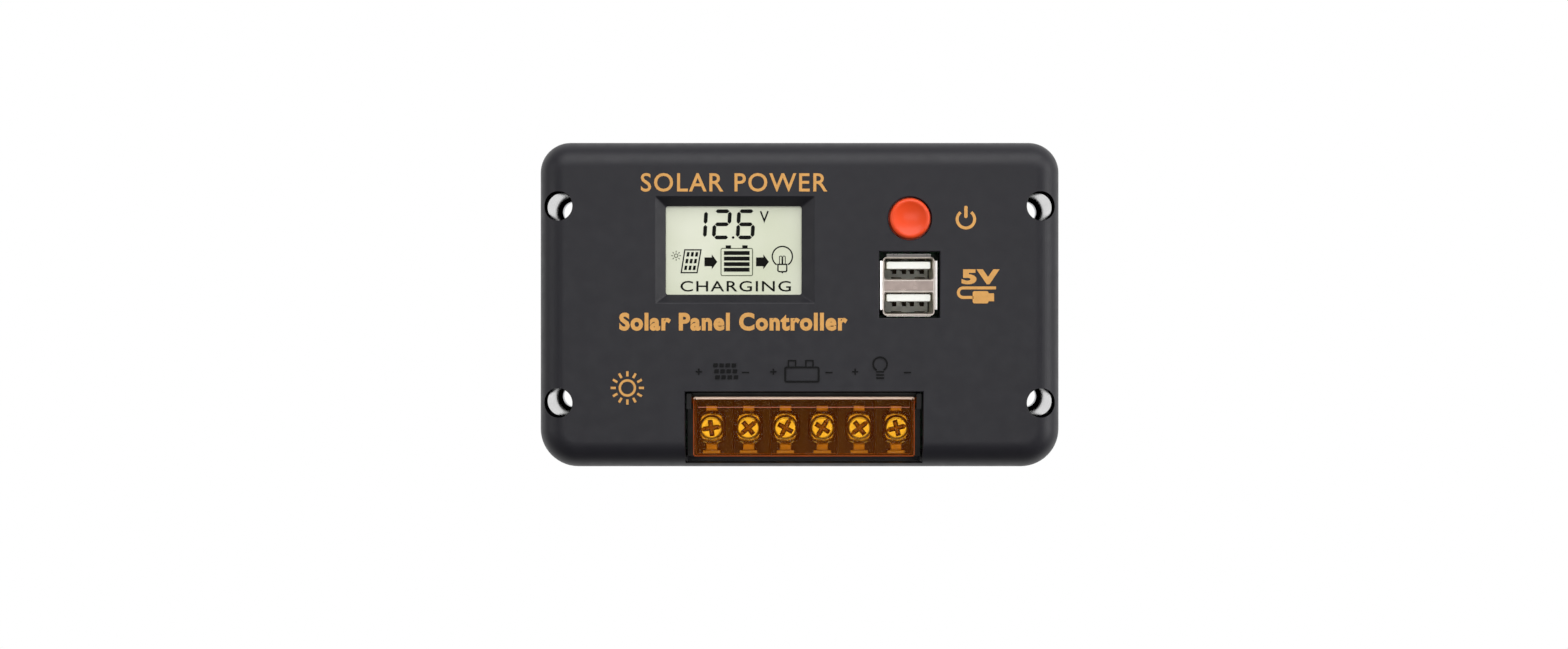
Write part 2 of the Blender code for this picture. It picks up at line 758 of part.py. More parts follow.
def make_terminal_block():
    """Moulded block with six open cells, barriers between them and ears for the flap."""
    left = TERMINAL_X - BLOCK_WIDTH / 2.0
    right = TERMINAL_X + BLOCK_WIDTH / 2.0
    bm = bmesh.new()
    box(bm, left, right, BLOCK_FRONT, PART_BACK, BLOCK_BOTTOM, BLOCK_TOP)
    block = add_object("terminal_block", bm, block_material("terminal_block_plastic"))
    bm = bmesh.new()
    overlap = BLOCK_FRONT + OVERSHOOT
    box(bm, left, left + EAR_WIDTH, EAR_FRONT, overlap, EAR_BOTTOM, BLOCK_TOP)
    box(bm, right - EAR_WIDTH, right, EAR_FRONT, overlap, EAR_BOTTOM, BLOCK_TOP)
    combine(block, bm, "UNION")
    cut_block_cells(block)
    cut_pivot_holes(block)
    smooth_round(block)


def cut_block_cells(block):
    """Open cells, screw bores and pin holes of the terminal block."""
    front = BLOCK_FRONT - OVERSHOOT
    bm = bmesh.new()
    for index in range(POLES):
        x = pole_x(index)
        half = CELL_WIDTH / 2.0
        box(bm, x - half, x + half, front, CELL_FLOOR, BLOCK_BOTTOM - OVERSHOOT, CELL_TOP)
    combine(block, bm, "DIFFERENCE")
    bm = bmesh.new()
    for index in range(POLES):
        x = pole_x(index)
        half = PIN_SIZE / 2.0 + GAP
        above = CELL_FLOOR - OVERSHOOT
        rod(bm, x, TERMINAL_Z, SCREW_BORE_RADIUS, above, SCREW_END + OVERSHOOT, COARSE)
        box(bm, x - half, x + half, above, PART_BACK + OVERSHOOT, PIN_Z - half, PIN_Z + half)
    combine(block, bm, "DIFFERENCE")


def cut_pivot_holes(block):
    """Bearing holes for the flap's pins, right through both ears."""
    bm = bmesh.new()
    rod_along_x(bm, PIVOT_Y, PIVOT_Z, PIVOT_BORE_RADIUS, -BLOCK_WIDTH, BLOCK_WIDTH, COARSE)
    combine(block, bm, "DIFFERENCE")


def rod_along_x(bm, y, z, radius, x_a, x_b, steps):
    """Round body along X."""
    turn = 2.0 * math.pi / steps
    rings = []
    for x in (x_a, x_b):
        ring = []
        for i in range(steps):
            across = y + radius * math.cos(i * turn)
            up = z + radius * math.sin(i * turn)
            ring.append(bm.verts.new((x * MM, across * MM, up * MM)))
        rings.append(ring)
    for i in range(steps):
        j = (i + 1) % steps
        bm.faces.new((rings[0][i], rings[0][j], rings[1][j], rings[1][i]))
    bm.faces.new(rings[0])
    bm.faces.new(rings[1])


def make_contact(index):
    """Brass contact strip with a square eye for the screw and a pin to the board."""
    x = pole_x(index)
    back = CONTACT_FRONT + CONTACT_THICKNESS
    bm = bmesh.new()
    half = CONTACT_WIDTH / 2.0
    box(bm, x - half, x + half, CONTACT_FRONT, back, CONTACT_BOTTOM, CONTACT_TOP)
    name = "terminal_contact_%d" % (index + 1)
    contact = add_object(name, bm, brass_material(name + "_brass"))
    bm = bmesh.new()
    prism(bm, rectangle(x, TERMINAL_Z, 2.0 * CONTACT_EYE, 2.0 * CONTACT_EYE), CONTACT_FRONT, back)
    combine(contact, bm, "UNION")
    bm = bmesh.new()
    half = PIN_SIZE / 2.0
    box(bm, x - half, x + half, back - OVERSHOOT, PIN_END, PIN_Z - half, PIN_Z + half)
    combine(contact, bm, "UNION")
    bm = bmesh.new()
    rod(bm, x, TERMINAL_Z, SCREW_BORE_RADIUS, CONTACT_FRONT - OVERSHOOT, back + OVERSHOOT, COARSE)
    combine(contact, bm, "DIFFERENCE")
    smooth_round(contact)


def make_clamp(index):
    """Square wire clamp, captive under its screw."""
    x = pole_x(index)
    front = CLAMP_BACK - CLAMP_THICKNESS
    sections = []
    for inset, y in ((CLAMP_BEVEL, front), (0.0, front + CLAMP_BEVEL), (0.0, CLAMP_BACK)):
        width = CLAMP_WIDTH - 2.0 * inset
        height = CLAMP_HEIGHT - 2.0 * inset
        corner = CLAMP_CORNER - inset
        sections.append((rounded(x, TERMINAL_Z, width, height, corner, corner, CLAMP_CORNER_STEPS), y))
    bm = bmesh.new()
    loft(bm, sections)
    name = "wire_clamp_%d" % (index + 1)
    clamp = add_object(name, bm, nickel_material(name + "_nickel"))
    bm = bmesh.new()
    rod(bm, x, TERMINAL_Z, CLAMP_BORE_RADIUS, front - OVERSHOOT, CLAMP_BACK + OVERSHOOT, COARSE)
    combine(clamp, bm, "DIFFERENCE")
    smooth_round(clamp)
    set_origin(clamp, x, CLAMP_BACK, TERMINAL_Z)


def make_terminal_screw(index):
    """Terminal screw with a combined cross and slot recess."""
    x = pole_x(index)
    profile = []
    for inset, depth in SCREW_HEAD_CROWN:
        profile.append((SCREW_HEAD_RADIUS - inset, SCREW_HEAD_FRONT + depth))
    profile += [
        (SCREW_HEAD_RADIUS, SCREW_HEAD_BACK),
        (SCREW_SHANK_RADIUS, SCREW_HEAD_BACK),
        (SCREW_SHANK_RADIUS, SCREW_END),
    ]
    bm = bmesh.new()
    turned(bm, x, TERMINAL_Z, profile, MEDIUM)
    name = "terminal_screw_%d" % (index + 1)
    screw = add_object(name, bm, nickel_material(name + "_nickel"))
    front = SCREW_HEAD_FRONT - OVERSHOOT
    floor = SCREW_HEAD_FRONT + RECESS_DEPTH
    for width, height in ((RECESS_LENGTH, RECESS_WIDTH), (RECESS_WIDTH, RECESS_LENGTH)):
        bm = bmesh.new()
        prism(bm, rectangle(x, TERMINAL_Z, width, height), front, floor)
        combine(screw, bm, "DIFFERENCE")
    smooth_round(screw)
    set_origin(screw, x, SCREW_HEAD_BACK, TERMINAL_Z)


def make_flap():
    """Clear flap with a pin at each end of its top edge."""
    left = TERMINAL_X - FLAP_WIDTH / 2.0
    right = TERMINAL_X + FLAP_WIDTH / 2.0
    centre_z = (FLAP_TOP + FLAP_BOTTOM) / 2.0
    height = FLAP_TOP - FLAP_BOTTOM
    back = FLAP_FRONT + FLAP_THICKNESS
    rings = []
    for inset in (FLAP_BEVEL, 0.0):
        corner = FLAP_CORNER - inset
        wide = FLAP_WIDTH - 2.0 * inset
        tall = height - 2.0 * inset
        rings.append(rounded(TERMINAL_X, centre_z, wide, tall, corner, corner, FLAP_CORNER_STEPS))
    small, full = rings
    sections = [
        (small, FLAP_FRONT),
        (full, FLAP_FRONT + FLAP_BEVEL),
        (full, back - FLAP_BEVEL),
        (small, back),
    ]
    bm = bmesh.new()
    loft(bm, sections)
    colour = make_material("flap_amber", (226, 150, 40), 0.15, 0.0, 0.45)
    flap = add_object("terminal_flap", bm, colour)
    bm = bmesh.new()
    for inside, outside in ((left + OVERSHOOT, left - PIVOT_REACH), (right - OVERSHOOT, right + PIVOT_REACH)):
        rod_along_x(bm, PIVOT_Y, PIVOT_Z, PIVOT_RADIUS, inside, outside, COARSE)
    combine(flap, bm, "UNION")
    smooth_round(flap)
    set_origin(flap, TERMINAL_X, PIVOT_Y, PIVOT_Z)


def make_power_parts():
    """Heat spreader on the back plate and the transistors clamped to it."""
    spreader_back = SHELL_BACK
    spreader_front = spreader_back - SPREADER_THICKNESS
    bm = bmesh.new()
    half = SPREADER_HALF_WIDTH
    box(bm, -half, half, spreader_front, spreader_back, SPREADER_BOTTOM, SPREADER_TOP)
    add_object("heat_spreader", bm, aluminium_material("spreader_aluminium"))
    body_back = spreader_front - GAP
    body_front = body_back - TRANSISTOR_THICKNESS
    half = TRANSISTOR_HALF_WIDTH
    legs = ((LEG_FRONT, LEG_BACK, LEG_TOP), (MAIN_BOARD_BACK + GAP, LEG_BEND_BACK, LEG_FOOT_TOP))
    for index, x in enumerate(TRANSISTOR_X):
        bm = bmesh.new()
        box(bm, x - half, x + half, body_front, body_back, TRANSISTOR_BOTTOM, TRANSISTOR_TOP)
        name = "power_transistor_%d" % (index + 1)
        transistor = add_object(name, bm, chip_material(name + "_package"))
        for y_a, y_b, z_b in legs:
            bm = bmesh.new()
            for offset in LEG_OFFSETS:
                leg = x + offset
                box(bm, leg - LEG_HALF, leg + LEG_HALF, y_a, y_b, LEG_END, z_b)
            combine(transistor, bm, "UNION")


def make_capacitors():
    """Electrolytic capacitors standing on the main board."""
    groove_low, groove_middle, groove_high = CAPACITOR_GROOVE_EDGES
    for index, (x, z) in enumerate(CAPACITORS):
        top = PART_BACK - CAPACITOR_HEIGHT
        profile = (
            (CAPACITOR_RADIUS - CAPACITOR_BEVEL, top),
            (CAPACITOR_RADIUS, top + CAPACITOR_BEVEL),
            (CAPACITOR_RADIUS, PART_BACK - groove_high),
            (CAPACITOR_RADIUS - CAPACITOR_GROOVE_DEPTH, PART_BACK - groove_middle),
            (CAPACITOR_RADIUS, PART_BACK - groove_low),
            (CAPACITOR_RADIUS, PART_BACK),
        )
        bm = bmesh.new()
        turned(bm, x, z, profile, MEDIUM)
        name = "capacitor_%d" % (index + 1)
        smooth_round(add_object(name, bm, sleeve_material(name + "_sleeve")))


def make_inductor():
    """Drum core and the copper winding round its waist."""
    top = PART_BACK - INDUCTOR_HEIGHT
    waist_low = PART_BACK - INDUCTOR_FLANGE_THICKNESS
    waist_high = top + INDUCTOR_FLANGE_THICKNESS
    profile = (
        (INDUCTOR_FLANGE_RADIUS, PART_BACK),
        (INDUCTOR_FLANGE_RADIUS, waist_low),
        (INDUCTOR_WAIST_RADIUS, waist_low),
        (INDUCTOR_WAIST_RADIUS, waist_high),
        (INDUCTOR_FLANGE_RADIUS, waist_high),
        (INDUCTOR_FLANGE_RADIUS, top),
    )
    bm = bmesh.new()
    turned(bm, INDUCTOR_X, INDUCTOR_Z, profile, MEDIUM)
    core = make_material("inductor_ferrite", (52, 50, 50), 0.6, 0.0)
    smooth_round(add_object("inductor_core", bm, core))
    bm = bmesh.new()
    rod(bm, INDUCTOR_X, INDUCTOR_Z, WINDING_RADIUS, waist_low - GAP, waist_high + GAP, MEDIUM)
    copper = make_material("inductor_copper", (184, 106, 62), 0.35, 1.0)
    coil = add_object("inductor_winding", bm, copper)
    bm = bmesh.new()
    rod(bm, INDUCTOR_X, INDUCTOR_Z, INDUCTOR_WAIST_RADIUS + GAP, PART_BACK, top, MEDIUM)
    combine(coil, bm, "DIFFERENCE")
    smooth_round(coil)


def make_board_block(name, edges, material):
    """Rectangular part on the main board from its X edges, Z edges and height."""
    left, right, bottom, top, height = edges
    bm = bmesh.new()
    box(bm, left, right, PART_BACK - height, PART_BACK, bottom, top)
    add_object(name, bm, material)


def make_chips():
    """Controller chip, USB converter chip and the fuse on the main board."""
    make_board_block("controller_chip", CONTROLLER_CHIP, chip_material("controller_chip_package"))
    make_board_block("usb_converter_chip", CONVERTER_CHIP, chip_material("usb_converter_package"))
    make_board_block("fuse", FUSE, make_material("fuse_plastic", (44, 120, 176), 0.4, 0.0))


def build():
    """Build every sub-part."""
    clear_scene()
    make_front_shell()
    make_back_plate()
    make_case_screws()
    make_main_board()
    make_board_screws()
    make_display()
    make_button()
    make_switch()
    make_usb_shell()
    make_usb_insulator()
    make_terminal_block()
    for index in range(POLES):
        make_contact(index)
        make_clamp(index)
        make_terminal_screw(index)
    make_flap()
    make_power_parts()
    make_capacitors()
    make_inductor()
    make_chips()


build()
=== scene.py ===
import json
import math

import bmesh
import bpy
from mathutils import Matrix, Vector


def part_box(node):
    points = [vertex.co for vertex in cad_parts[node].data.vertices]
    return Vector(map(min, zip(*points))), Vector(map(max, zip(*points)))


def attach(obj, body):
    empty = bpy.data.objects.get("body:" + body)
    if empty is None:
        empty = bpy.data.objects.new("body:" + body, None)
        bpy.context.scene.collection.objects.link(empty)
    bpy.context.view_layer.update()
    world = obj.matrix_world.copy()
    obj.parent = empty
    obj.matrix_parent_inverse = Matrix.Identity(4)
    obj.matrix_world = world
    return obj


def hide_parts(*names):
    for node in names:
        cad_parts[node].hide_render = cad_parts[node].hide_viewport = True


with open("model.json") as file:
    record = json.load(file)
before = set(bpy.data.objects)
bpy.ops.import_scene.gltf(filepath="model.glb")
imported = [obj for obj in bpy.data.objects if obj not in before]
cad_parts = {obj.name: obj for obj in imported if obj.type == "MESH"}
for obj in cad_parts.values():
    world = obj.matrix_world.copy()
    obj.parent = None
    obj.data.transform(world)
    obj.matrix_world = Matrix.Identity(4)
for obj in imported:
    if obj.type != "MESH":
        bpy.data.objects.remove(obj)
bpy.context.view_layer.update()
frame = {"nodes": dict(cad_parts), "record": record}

NODES = frame["nodes"]
MM = 0.001


def box_mm(node):
    """Lowest and highest corner of a CAD node, in millimetres."""
    low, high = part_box(node)
    return [v / MM for v in low], [v / MM for v in high]


SHELL_LOW, SHELL_HIGH = box_mm("front_shell")
BUTTON_LOW, BUTTON_HIGH = box_mm("button_cap")
USB_LOW, USB_HIGH = box_mm("usb_shell")
FLAP_LOW, FLAP_HIGH = box_mm("terminal_flap")
GLASS_LOW, GLASS_HIGH = box_mm("display_glass")

# Sizes are in millimetres, with +X to the right, -Y to the front and +Z up.
# An area is (centre x, centre z, width, height), an arc is (centre x, centre z, radius, start
# and end in degrees), and a sun is (centre, radius, ring steps, ray ends, rays, line width).

# A cutter runs this far past the face that it cuts
OVERSHOOT = 1.0

# Case
CASE_WIDTH = SHELL_HIGH[0] - SHELL_LOW[0]
CASE_HEIGHT = SHELL_HIGH[2] - SHELL_LOW[2]
CASE_FRONT = SHELL_LOW[1]
CASE_BACK = SHELL_HIGH[1]
WALL = 2.4
WALL_BACK = CASE_FRONT + WALL
EDGE_RADIUS = 7.0
EDGE_END = CASE_FRONT + EDGE_RADIUS
TOP_CORNER_RADIUS = 7.7
BOTTOM_CORNER_RADIUS = 9.7
SHARP_CORNER = 0.5
CORNER_STEPS = 14
EDGE_STEPS = 16
RIM_STEPS = 4

# Mounting bores: a glossy rim at the mouth painted darker than the case, a dull band of painted shade
# behind it, and polished walls from there whose lighter base tone is painted reflection
BORES = ((-61.0, 24.9), (61.0, 24.9), (61.0, -24.8), (-61.0, -24.8))
BORE_RADIUS = 3.7
BORE_MOUTH = 0.2
BORE_GLOSS = 0.1
BORE_TUBE_RADIUS = 5.0
BORE_NECK_RADIUS = 4.3
BORE_NECK_SHIFT = 1.0
BORE_SEAT = -4.5
BORE_PAINTED_SHADE_END = 8.5
BORE_HOLE_RADIUS = 2.9
COLUMN_END = WALL_BACK - 0.5

# Openings in the front wall
USB_OPENING = (27.7, 5.0, 15.3, 16.7)
USB_OPENING_RIM = 0.3
BUTTON_HOLE_RADIUS = 5.5
BUTTON_HOLE_RIM = 0.2
WINDOW_LOW = -40.2
WINDOW_HIGH = -22.0
WINDOW = (1.1, (WINDOW_LOW + WINDOW_HIGH) / 2.0, 60.1, WINDOW_HIGH - WINDOW_LOW)
WINDOW_RIM = 0.25
WINDOW_BACK = -27.0
WIRE_SLOT_BACK = -19.0
BLOCK_BOTTOM = -38.6

# Display bezel and panel
BEZEL = (-16.3, 13.8, 40.0, 26.8)
BEZEL_CORNER = 0.25
BEZEL_LIP = 0.25
BEZEL_EASE = 0.08
BEZEL_FLARE = 0.3
BEZEL_FLARE_CORNER = 0.4
BEZEL_FOOT = 0.12
DISPLAY = (-16.7, 13.7, 34.4, 22.4)
DISPLAY_CORNER = 0.6
PANEL_EDGE = 0.2
PANEL_CORNER = 0.5
PANEL_EDGE_CORNER = 0.4

# Display drawing: places are (u, v), right of and above the display's centre
INK = 0.04
DIGITS = (("1", -9.04), ("2", -3.0), ("6", 3.05))
DIGIT_LEVEL = 6.65
DIGIT_HALF_WIDTH = 1.87
DIGIT_HALF_HEIGHT = 3.32
DIGIT_LEAN = 0.055
SEGMENT_HALF = 0.47
SEGMENT_GAP = 0.12
SEGMENTS = {
    "1": ((1, 1), (1, 0)),
    "2": ("top", (1, 1), "middle", (0, 0), "bottom"),
    "6": ("top", (0, 1), "middle", (0, 0), (1, 0), "bottom"),
}
POINT = (-0.13, 3.3)
POINT_RADIUS = 0.32
CELL_START = (-11.88, -0.95)
CELL_PITCH = (1.09, 1.72)
CELL = ((-0.33, -0.56), (0.33, -0.56), (0.33, 0.56), (-0.33, 0.56))
CELL_LEAN = 0.17
CELL_LEAN_LEVEL = 2.7
ARROW_STARTS = (-7.42, 5.67)
ARROW_LEVEL = -2.86
ARROW = ((0.0, -1.12), (1.85, -1.12), (1.85, -1.87), (3.25, 0.0), (1.85, 1.87), (1.85, 1.12), (0.0, 1.12))
BATTERY_U = 0.78
BAR_TOP = -0.62
BAR_PITCH = 1.41
BAR_SIZE = (6.5, 1.0)
POSTS = ((-1.37, 0.9), (2.85, 0.9))
POST_SIZE = (1.35, 0.85)
BATTERY = (BATTERY_U, -2.9, 8.0, 6.9)
BATTERY_CORNER = 0.4
PANEL_OUTLINE = ((-13.3, -5.6), (-9.3, -5.6), (-8.3, 0.18), (-12.4, 0.18))
VOLT_LETTER = ((6.8, 10.0), (7.75, 7.5), (8.7, 10.0))
BULB = (12.33, -1.5, 2.55, -55, 235)
BULB_NECK = ((11.2, -3.5), (11.2, -5.1), (11.5, -5.35), (13.2, -5.35), (13.45, -5.1), (13.45, -3.5))
BULB_TIP = (12.33, -5.55)
BULB_TIP_RADIUS = 0.22
FILAMENT_SHIFTS = (-0.42, 0.42)
FILAMENT_HALF = 0.32
FILAMENT_ENDS = (-3.4, -1.7)
DISPLAY_SUN = ((-14.6, -1.3), 0.45, 16, (0.8, 1.25), 8, 0.2)
PANEL_LINE = 0.32
VOLT_LINE = 0.4
BULB_LINE = 0.34
FINE_LINE = 0.2
BATTERY_LINE = 0.22

# Wording: text, centre, height, width and how far the letters are thickened
LETTER_SPACING = 1.12
DISPLAY_WORD = ("CHARGING", (0.5, -9.05), 2.7, 28.0, 0.006)
TOP_WORD = ("SOLAR POWER", (-16.5, 30.8), 4.7, 47.0, 0.01)
NAME_WORD = ("Solar Panel Controller", (-16.7, -4.3), 4.6, 57.5, 0.045)
VOLT_WORD = ("5V", (45.6, 7.0), 3.8, 9.6, 0.05)

# Printed marks on the face
PRINT_SINK = 0.01
POWER_RING = (41.9, 21.5, 2.2, 127, 413)
POWER_BAR = (41.9, 23.35, 0.85, 3.1)
POWER_BAR_CORNER = 0.4
PLUG_LOOP = (41.2, 3.0)
PLUG_LOOP_RADIUS = 1.2
PLUG_LINE_END = 49.5
PLUG_LEAD_END = 43.8
PLUG_BODY = (45.6, 1.85, 4.0, 3.1)
PLUG_BODY_CORNER = 0.5
PLUG_TIP = (48.3, 1.85, 1.4, 2.0)
MARK_LINE = 0.75
SUN_MARK = ((-43.4, -21.0), 1.9, 36, (2.9, 4.2), 12, 0.6)

# Relief pictures above the terminals, coloured darker than the case as painted shade
RELIEF = 0.3
RELIEF_SINK = 0.02
RELIEF_ROUND = 0.08
RELIEF_CELLS = (-21.8, -15.3)
RELIEF_CELL_PITCH = (1.55, 1.5)
RELIEF_CELL_SHIFT = 0.25
RELIEF_CELL = ((0.0, -0.5), (1.1, -0.5), (1.2, 0.5), (0.1, 0.5))
RELIEF_BATTERY = (0.6, -17.6, 8.4, 3.6)
RELIEF_BATTERY_CORNER = 0.3
RELIEF_BATTERY_LINE = 0.5
RELIEF_POSTS = (-1.9, 2.5)
RELIEF_POST = ((-0.9, -15.6), (-0.9, -14.1), (0.9, -14.1), (0.9, -15.6))
RELIEF_BULB = (20.3, -15.0, 1.75, -60, 240)
RELIEF_BULB_LINE = 0.45
RELIEF_THREADS = (-16.9, -17.7, -18.5)
RELIEF_THREAD_HALF = 1.0
RELIEF_THREAD_LINE = 0.4
RELIEF_PLUSES = (-25.4, -6.6, 14.0)
RELIEF_PLUS_BAR = (-16.9, 0.8)
RELIEF_PLUS_ENDS = ((-16.1, -16.72), (-17.08, -17.7))
RELIEF_MINUSES = (-13.6, 7.4, 27.2)
RELIEF_MINUS_BAR = (-17.1, 0.9)
RELIEF_LINE = 0.35

# Button
BUTTON_X = (BUTTON_LOW[0] + BUTTON_HIGH[0]) / 2.0
BUTTON_Z = (BUTTON_LOW[2] + BUTTON_HIGH[2]) / 2.0
BUTTON_RADIUS = 5.1
BUTTON_RIM = 4.3
BUTTON_DISH = 1.0
BUTTON_DISH_STEPS = 12
BUTTON_RIM_STEPS = 8
BUTTON_FLANGE = WALL_BACK + 0.3
BUTTON_FLANGE_RADIUS = 6.3
BUTTON_FLANGE_THICK = 0.8
BUTTON_STEM_RADIUS = 2.5

# Stacked sockets: depths are measured back from the lips, outlines are (width, height, corner
# radius), and the lining is (half width, half height, start, end)
USB_X = 27.55
USB_Z = 4.62
USB_PORTS = (9.06, 0.4)
USB_BODY = (13.1, 14.85, 1.0)
USB_FOLD = (13.0, 14.75, 0.95)
USB_FOLD_DEPTHS = (0.5, 0.6)
PORT_MOUTH = (12.6, 5.65, 0.6)
PORT_INNER = (12.1, 5.1, 0.5)
PORT_DEPTHS = (0.5, 0.85, 13.9)
PORT_LINING = (6.4, 2.6, 0.9, 14.0)
CAVITY_SIZE = (12.1, 13.85)
DIVIDER_HALF = 6.15
DIVIDER_ENDS = (3.55, 5.95)
DIVIDER_DEPTHS = (0.38, 0.6)
DIVIDER_ROUND = 0.08
LIP_THICK = 0.28
LIP_ROUND = 0.07
SIDE_LIP_ENDS = (-1.3, 11.1)
SIDE_LIP = ((6.3, 0.75), (6.75, 0.35), (7.2, 0.0))
LEVEL_LIP_HALF = 5.6
LEVEL_LIPS = ((11.75, 12.75), (-2.45, -3.0))
LEVEL_LIP_DEPTHS = (0.7, 0.05)
USB_TONGUES = (9.9, 1.7)
TONGUE_NOSE = (10.9, 1.6, 0.25)
TONGUE_FULL = (11.1, 1.85, 0.3)
TONGUE_DEPTHS = (0.95, 1.15, 14.1)
REAR_WALL_SIZE = (11.5, 13.2)
REAR_WALL_DEPTH = 14.2
CONTACTS = (-3.5, -1.0, 1.0, 3.5)
CONTACT_HALF = 0.5
CONTACT_THICK = 0.15
CONTACT_DROP = 0.93
CONTACT_BEND = ((2.2, -0.05), (3.2, -1.05), (6.5, -0.12), (13.5, -0.1))
SPRINGS = (-3.0, 3.0)
SPRING_HALF = 1.3
SPRING_WALL = 2.54
SPRING_BEND = ((0.0, 2.0), (-0.45, 4.0), (-0.35, 4.4), (0.05, 2.4))

# Terminals: edges and profiles are (inset or radius, depth) pairs, from a piece's own front or
# back, and strip ends are (half width, lower end, upper end)
POLES = 6
POLE_PITCH = 9.5
TERMINAL_X = 1.1
TERMINAL_Z = -31.6
STRIP_FRONT = -25.2
STRIP_BACK = -24.5
STRIP_ENDS = ((1.45, -27.3, -26.0), (1.45, -37.5, -35.9), (2.3, -38.3, -37.5))
STRIP_ROUND = 0.15
CLAMP_EDGE = ((0.6, 0.0), (0.35, 0.1), (0.12, 0.35), (0.0, 0.7))
CLAMP_BACK_EDGE = 0.1
CLAMP_CORNER = 2.0
CLAMP_SEAT_RADIUS = 3.25
CLAMP_SEAT_DEPTH = 0.15
CLAMP_HOLE_RADIUS = 2.3
CLAMP_HOLE_DEPTH = 0.35
SCREW_DOME = ((0.05, 0.12), (1.4, 0.06), (2.3, 0.0), (2.75, 0.05), (2.92, 0.18), (2.98, 0.4), (3.0, 0.9))
SCREW_HEAD = 2.4
SCREW_HEAD_EDGE = ((3.0, -0.15), (2.9, 0.0))
SHANK_RADIUS = 1.7
THREAD_START = 0.3
THREAD_PITCH = 0.7
THREAD = ((1.7, 0.0), (1.95, 0.25), (1.95, 0.35), (1.7, 0.6))
SHANK_TIP = ((1.6, 0.2), (1.3, 0.0))
SCREW_TURNS = (8, 40, 62, 58, 38, 14)
CROSS_MOUTH = (2.1, 0.62)
CROSS_FLOOR = (1.5, 0.3)
CROSS_DEPTHS = (0.1, 1.35)
SLOT = ((-2.75, -0.4), (2.75, -0.4), (2.75, 0.4), (-2.75, 0.4))
SLOT_DEPTH = 0.95
RECESS_RADIUS = 2.76
RECESS_DEPTHS = (0.2, 1.6)

# Flap: its edges are (inset, depth) pairs from its front and its back
PIVOT_Y = -32.2
PIVOT_Z = -24.2
PIN_RADIUS = 0.75
PIN_REACH = 0.85
PIN_ROOT = 1.0
FLAP_CORNER = 0.6
FLAP_FRONT_EDGE = ((1.15, 0.25), (0.85, 0.22), (0.65, 0.0), (0.3, 0.0), (0.08, 0.1), (0.0, 0.35))
FLAP_BACK_EDGE = ((0.0, 0.3), (0.09, 0.09), (0.3, 0.0))
RIB_DROP = 2.7
RIB_HALF = 0.08
RIB_INSET = 1.3
RIB_DEPTHS = (0.16, 0.8)
# Widths of the painted highlight along the flap's top edge and of the painted shade on its other cut edges
PAINTED_HIGHLIGHT_WIDTH = 0.6
PAINTED_SHADE_WIDTH = 0.35

# Stage, in metres and watts: floor rings are (radius, level), lights (name, place, size, power)
FLOOR_RINGS = ((0.02, -0.7), (0.8, -0.7), (1.8, -0.7), (2.6, -0.698))
FLOOR_Y = 0.1
FLOOR_STEPS = 64
FRONT_LEVEL = 0.17
BACK_LEVEL = 1.0
LIGHT_TARGET = (0.0, -0.02, 0.0)
LIGHTS = (
    ("top_box", (0.1, -0.67, 0.77), (1.5, 0.75), 10.5),
    ("right_box", (0.95, -0.4, 0.1), (0.5, 1.0), 5.5),
    ("left_box", (-0.95, -0.5, 0.1), (0.5, 0.8), 1.9),
    ("front_box", (0.0, -1.7, -0.05), (1.4, 0.6), 5.5),
)
CAMERA_DISTANCE = 0.44
FACE_FRAME_WIDTH = 0.3951
SENSOR_WIDTH = 36.0
CAMERA_SHIFT = (-0.00995, -0.0127)

# CAD nodes that stay in view take these materials, by their slot in the record
SLOT_MATERIALS = {
    "back_plate_aluminium": "aluminium",
    "spreader_aluminium": "aluminium",
    "steel": "steel",
    "board_laminate": "board",
    "chip_plastic": "chip",
    "white_plastic": "white",
    "block_plastic": "block",
    "contact_brass": "brass",
    "capacitor_sleeve": "sleeve",
    "ferrite": "ferrite",
    "copper": "copper",
    "fuse_plastic": "fuse",
}


def linear(value):
    """Linear light for one channel of a colour given from 0 to 255."""
    share = value / 255.0
    if share <= 0.04045:
        return share / 12.92
    return ((share + 0.055) / 1.055) ** 2.4


def colour(red, green, blue):
    """Shader colour from channels of 0 to 255."""
    return (linear(red), linear(green), linear(blue), 1.0)


# ---- Mesh helpers

def circle(x, z, radius, steps):
    """Points round a circle."""
    turn = 2.0 * math.pi / steps
    return [(x + radius * math.cos(i * turn), z + radius * math.sin(i * turn)) for i in range(steps)]


def arc(x, z, radius, start, end, steps):
    """Points on an arc, angles in degrees."""
    points = []
    for i in range(steps + 1):
        angle = math.radians(start + (end - start) * i / steps)
        points.append((x + radius * math.cos(angle), z + radius * math.sin(angle)))
    return points


def rounded(x, z, width, height, top, bottom, steps):
    """Rectangle with rounded corners in the XZ plane."""
    half_w = width / 2.0
    half_h = height / 2.0
    corners = ((1, 1, top), (-1, 1, top), (-1, -1, bottom), (1, -1, bottom))
    points = []
    for turn, (side_x, side_z, radius) in enumerate(corners):
        centre_x = x + side_x * (half_w - radius)
        centre_z = z + side_z * (half_h - radius)
        points += arc(centre_x, centre_z, radius, 90 * turn, 90 * turn + 90, steps)
    return points


def rounded_sections(area, corner, steps, edge):
    """Sections of a block with rounded corners and an edge of (inset, y) pairs."""
    x, z, width, height = area
    sections = []
    for inset, y in edge:
        points = rounded(x, z, width - 2 * inset, height - 2 * inset, corner, corner, steps)
        sections.append((points, y))
    return sections


def rectangle(x, z, width, height):
    """Corners of a rectangle in the XZ plane."""
    left = x - width / 2.0
    right = x + width / 2.0
    low = z - height / 2.0
    high = z + height / 2.0
    return [(left, low), (right, low), (right, high), (left, high)]


def grown(area, growth):
    """Rectangle widened all round."""
    x, z, width, height = area
    return rectangle(x, z, width + 2 * growth, height + 2 * growth)


def loft(bm, sections):
    """Closed body through (points, y) sections with equal point counts."""
    rings = []
    for points, y in sections:
        rings.append([bm.verts.new((x * MM, y * MM, z * MM)) for x, z in points])
    count = len(rings[0])
    for near, far in zip(rings, rings[1:]):
        for i in range(count):
            j = (i + 1) % count
            bm.faces.new((near[i], near[j], far[j], far[i]))
    bm.faces.new(rings[0])
    bm.faces.new(rings[-1])


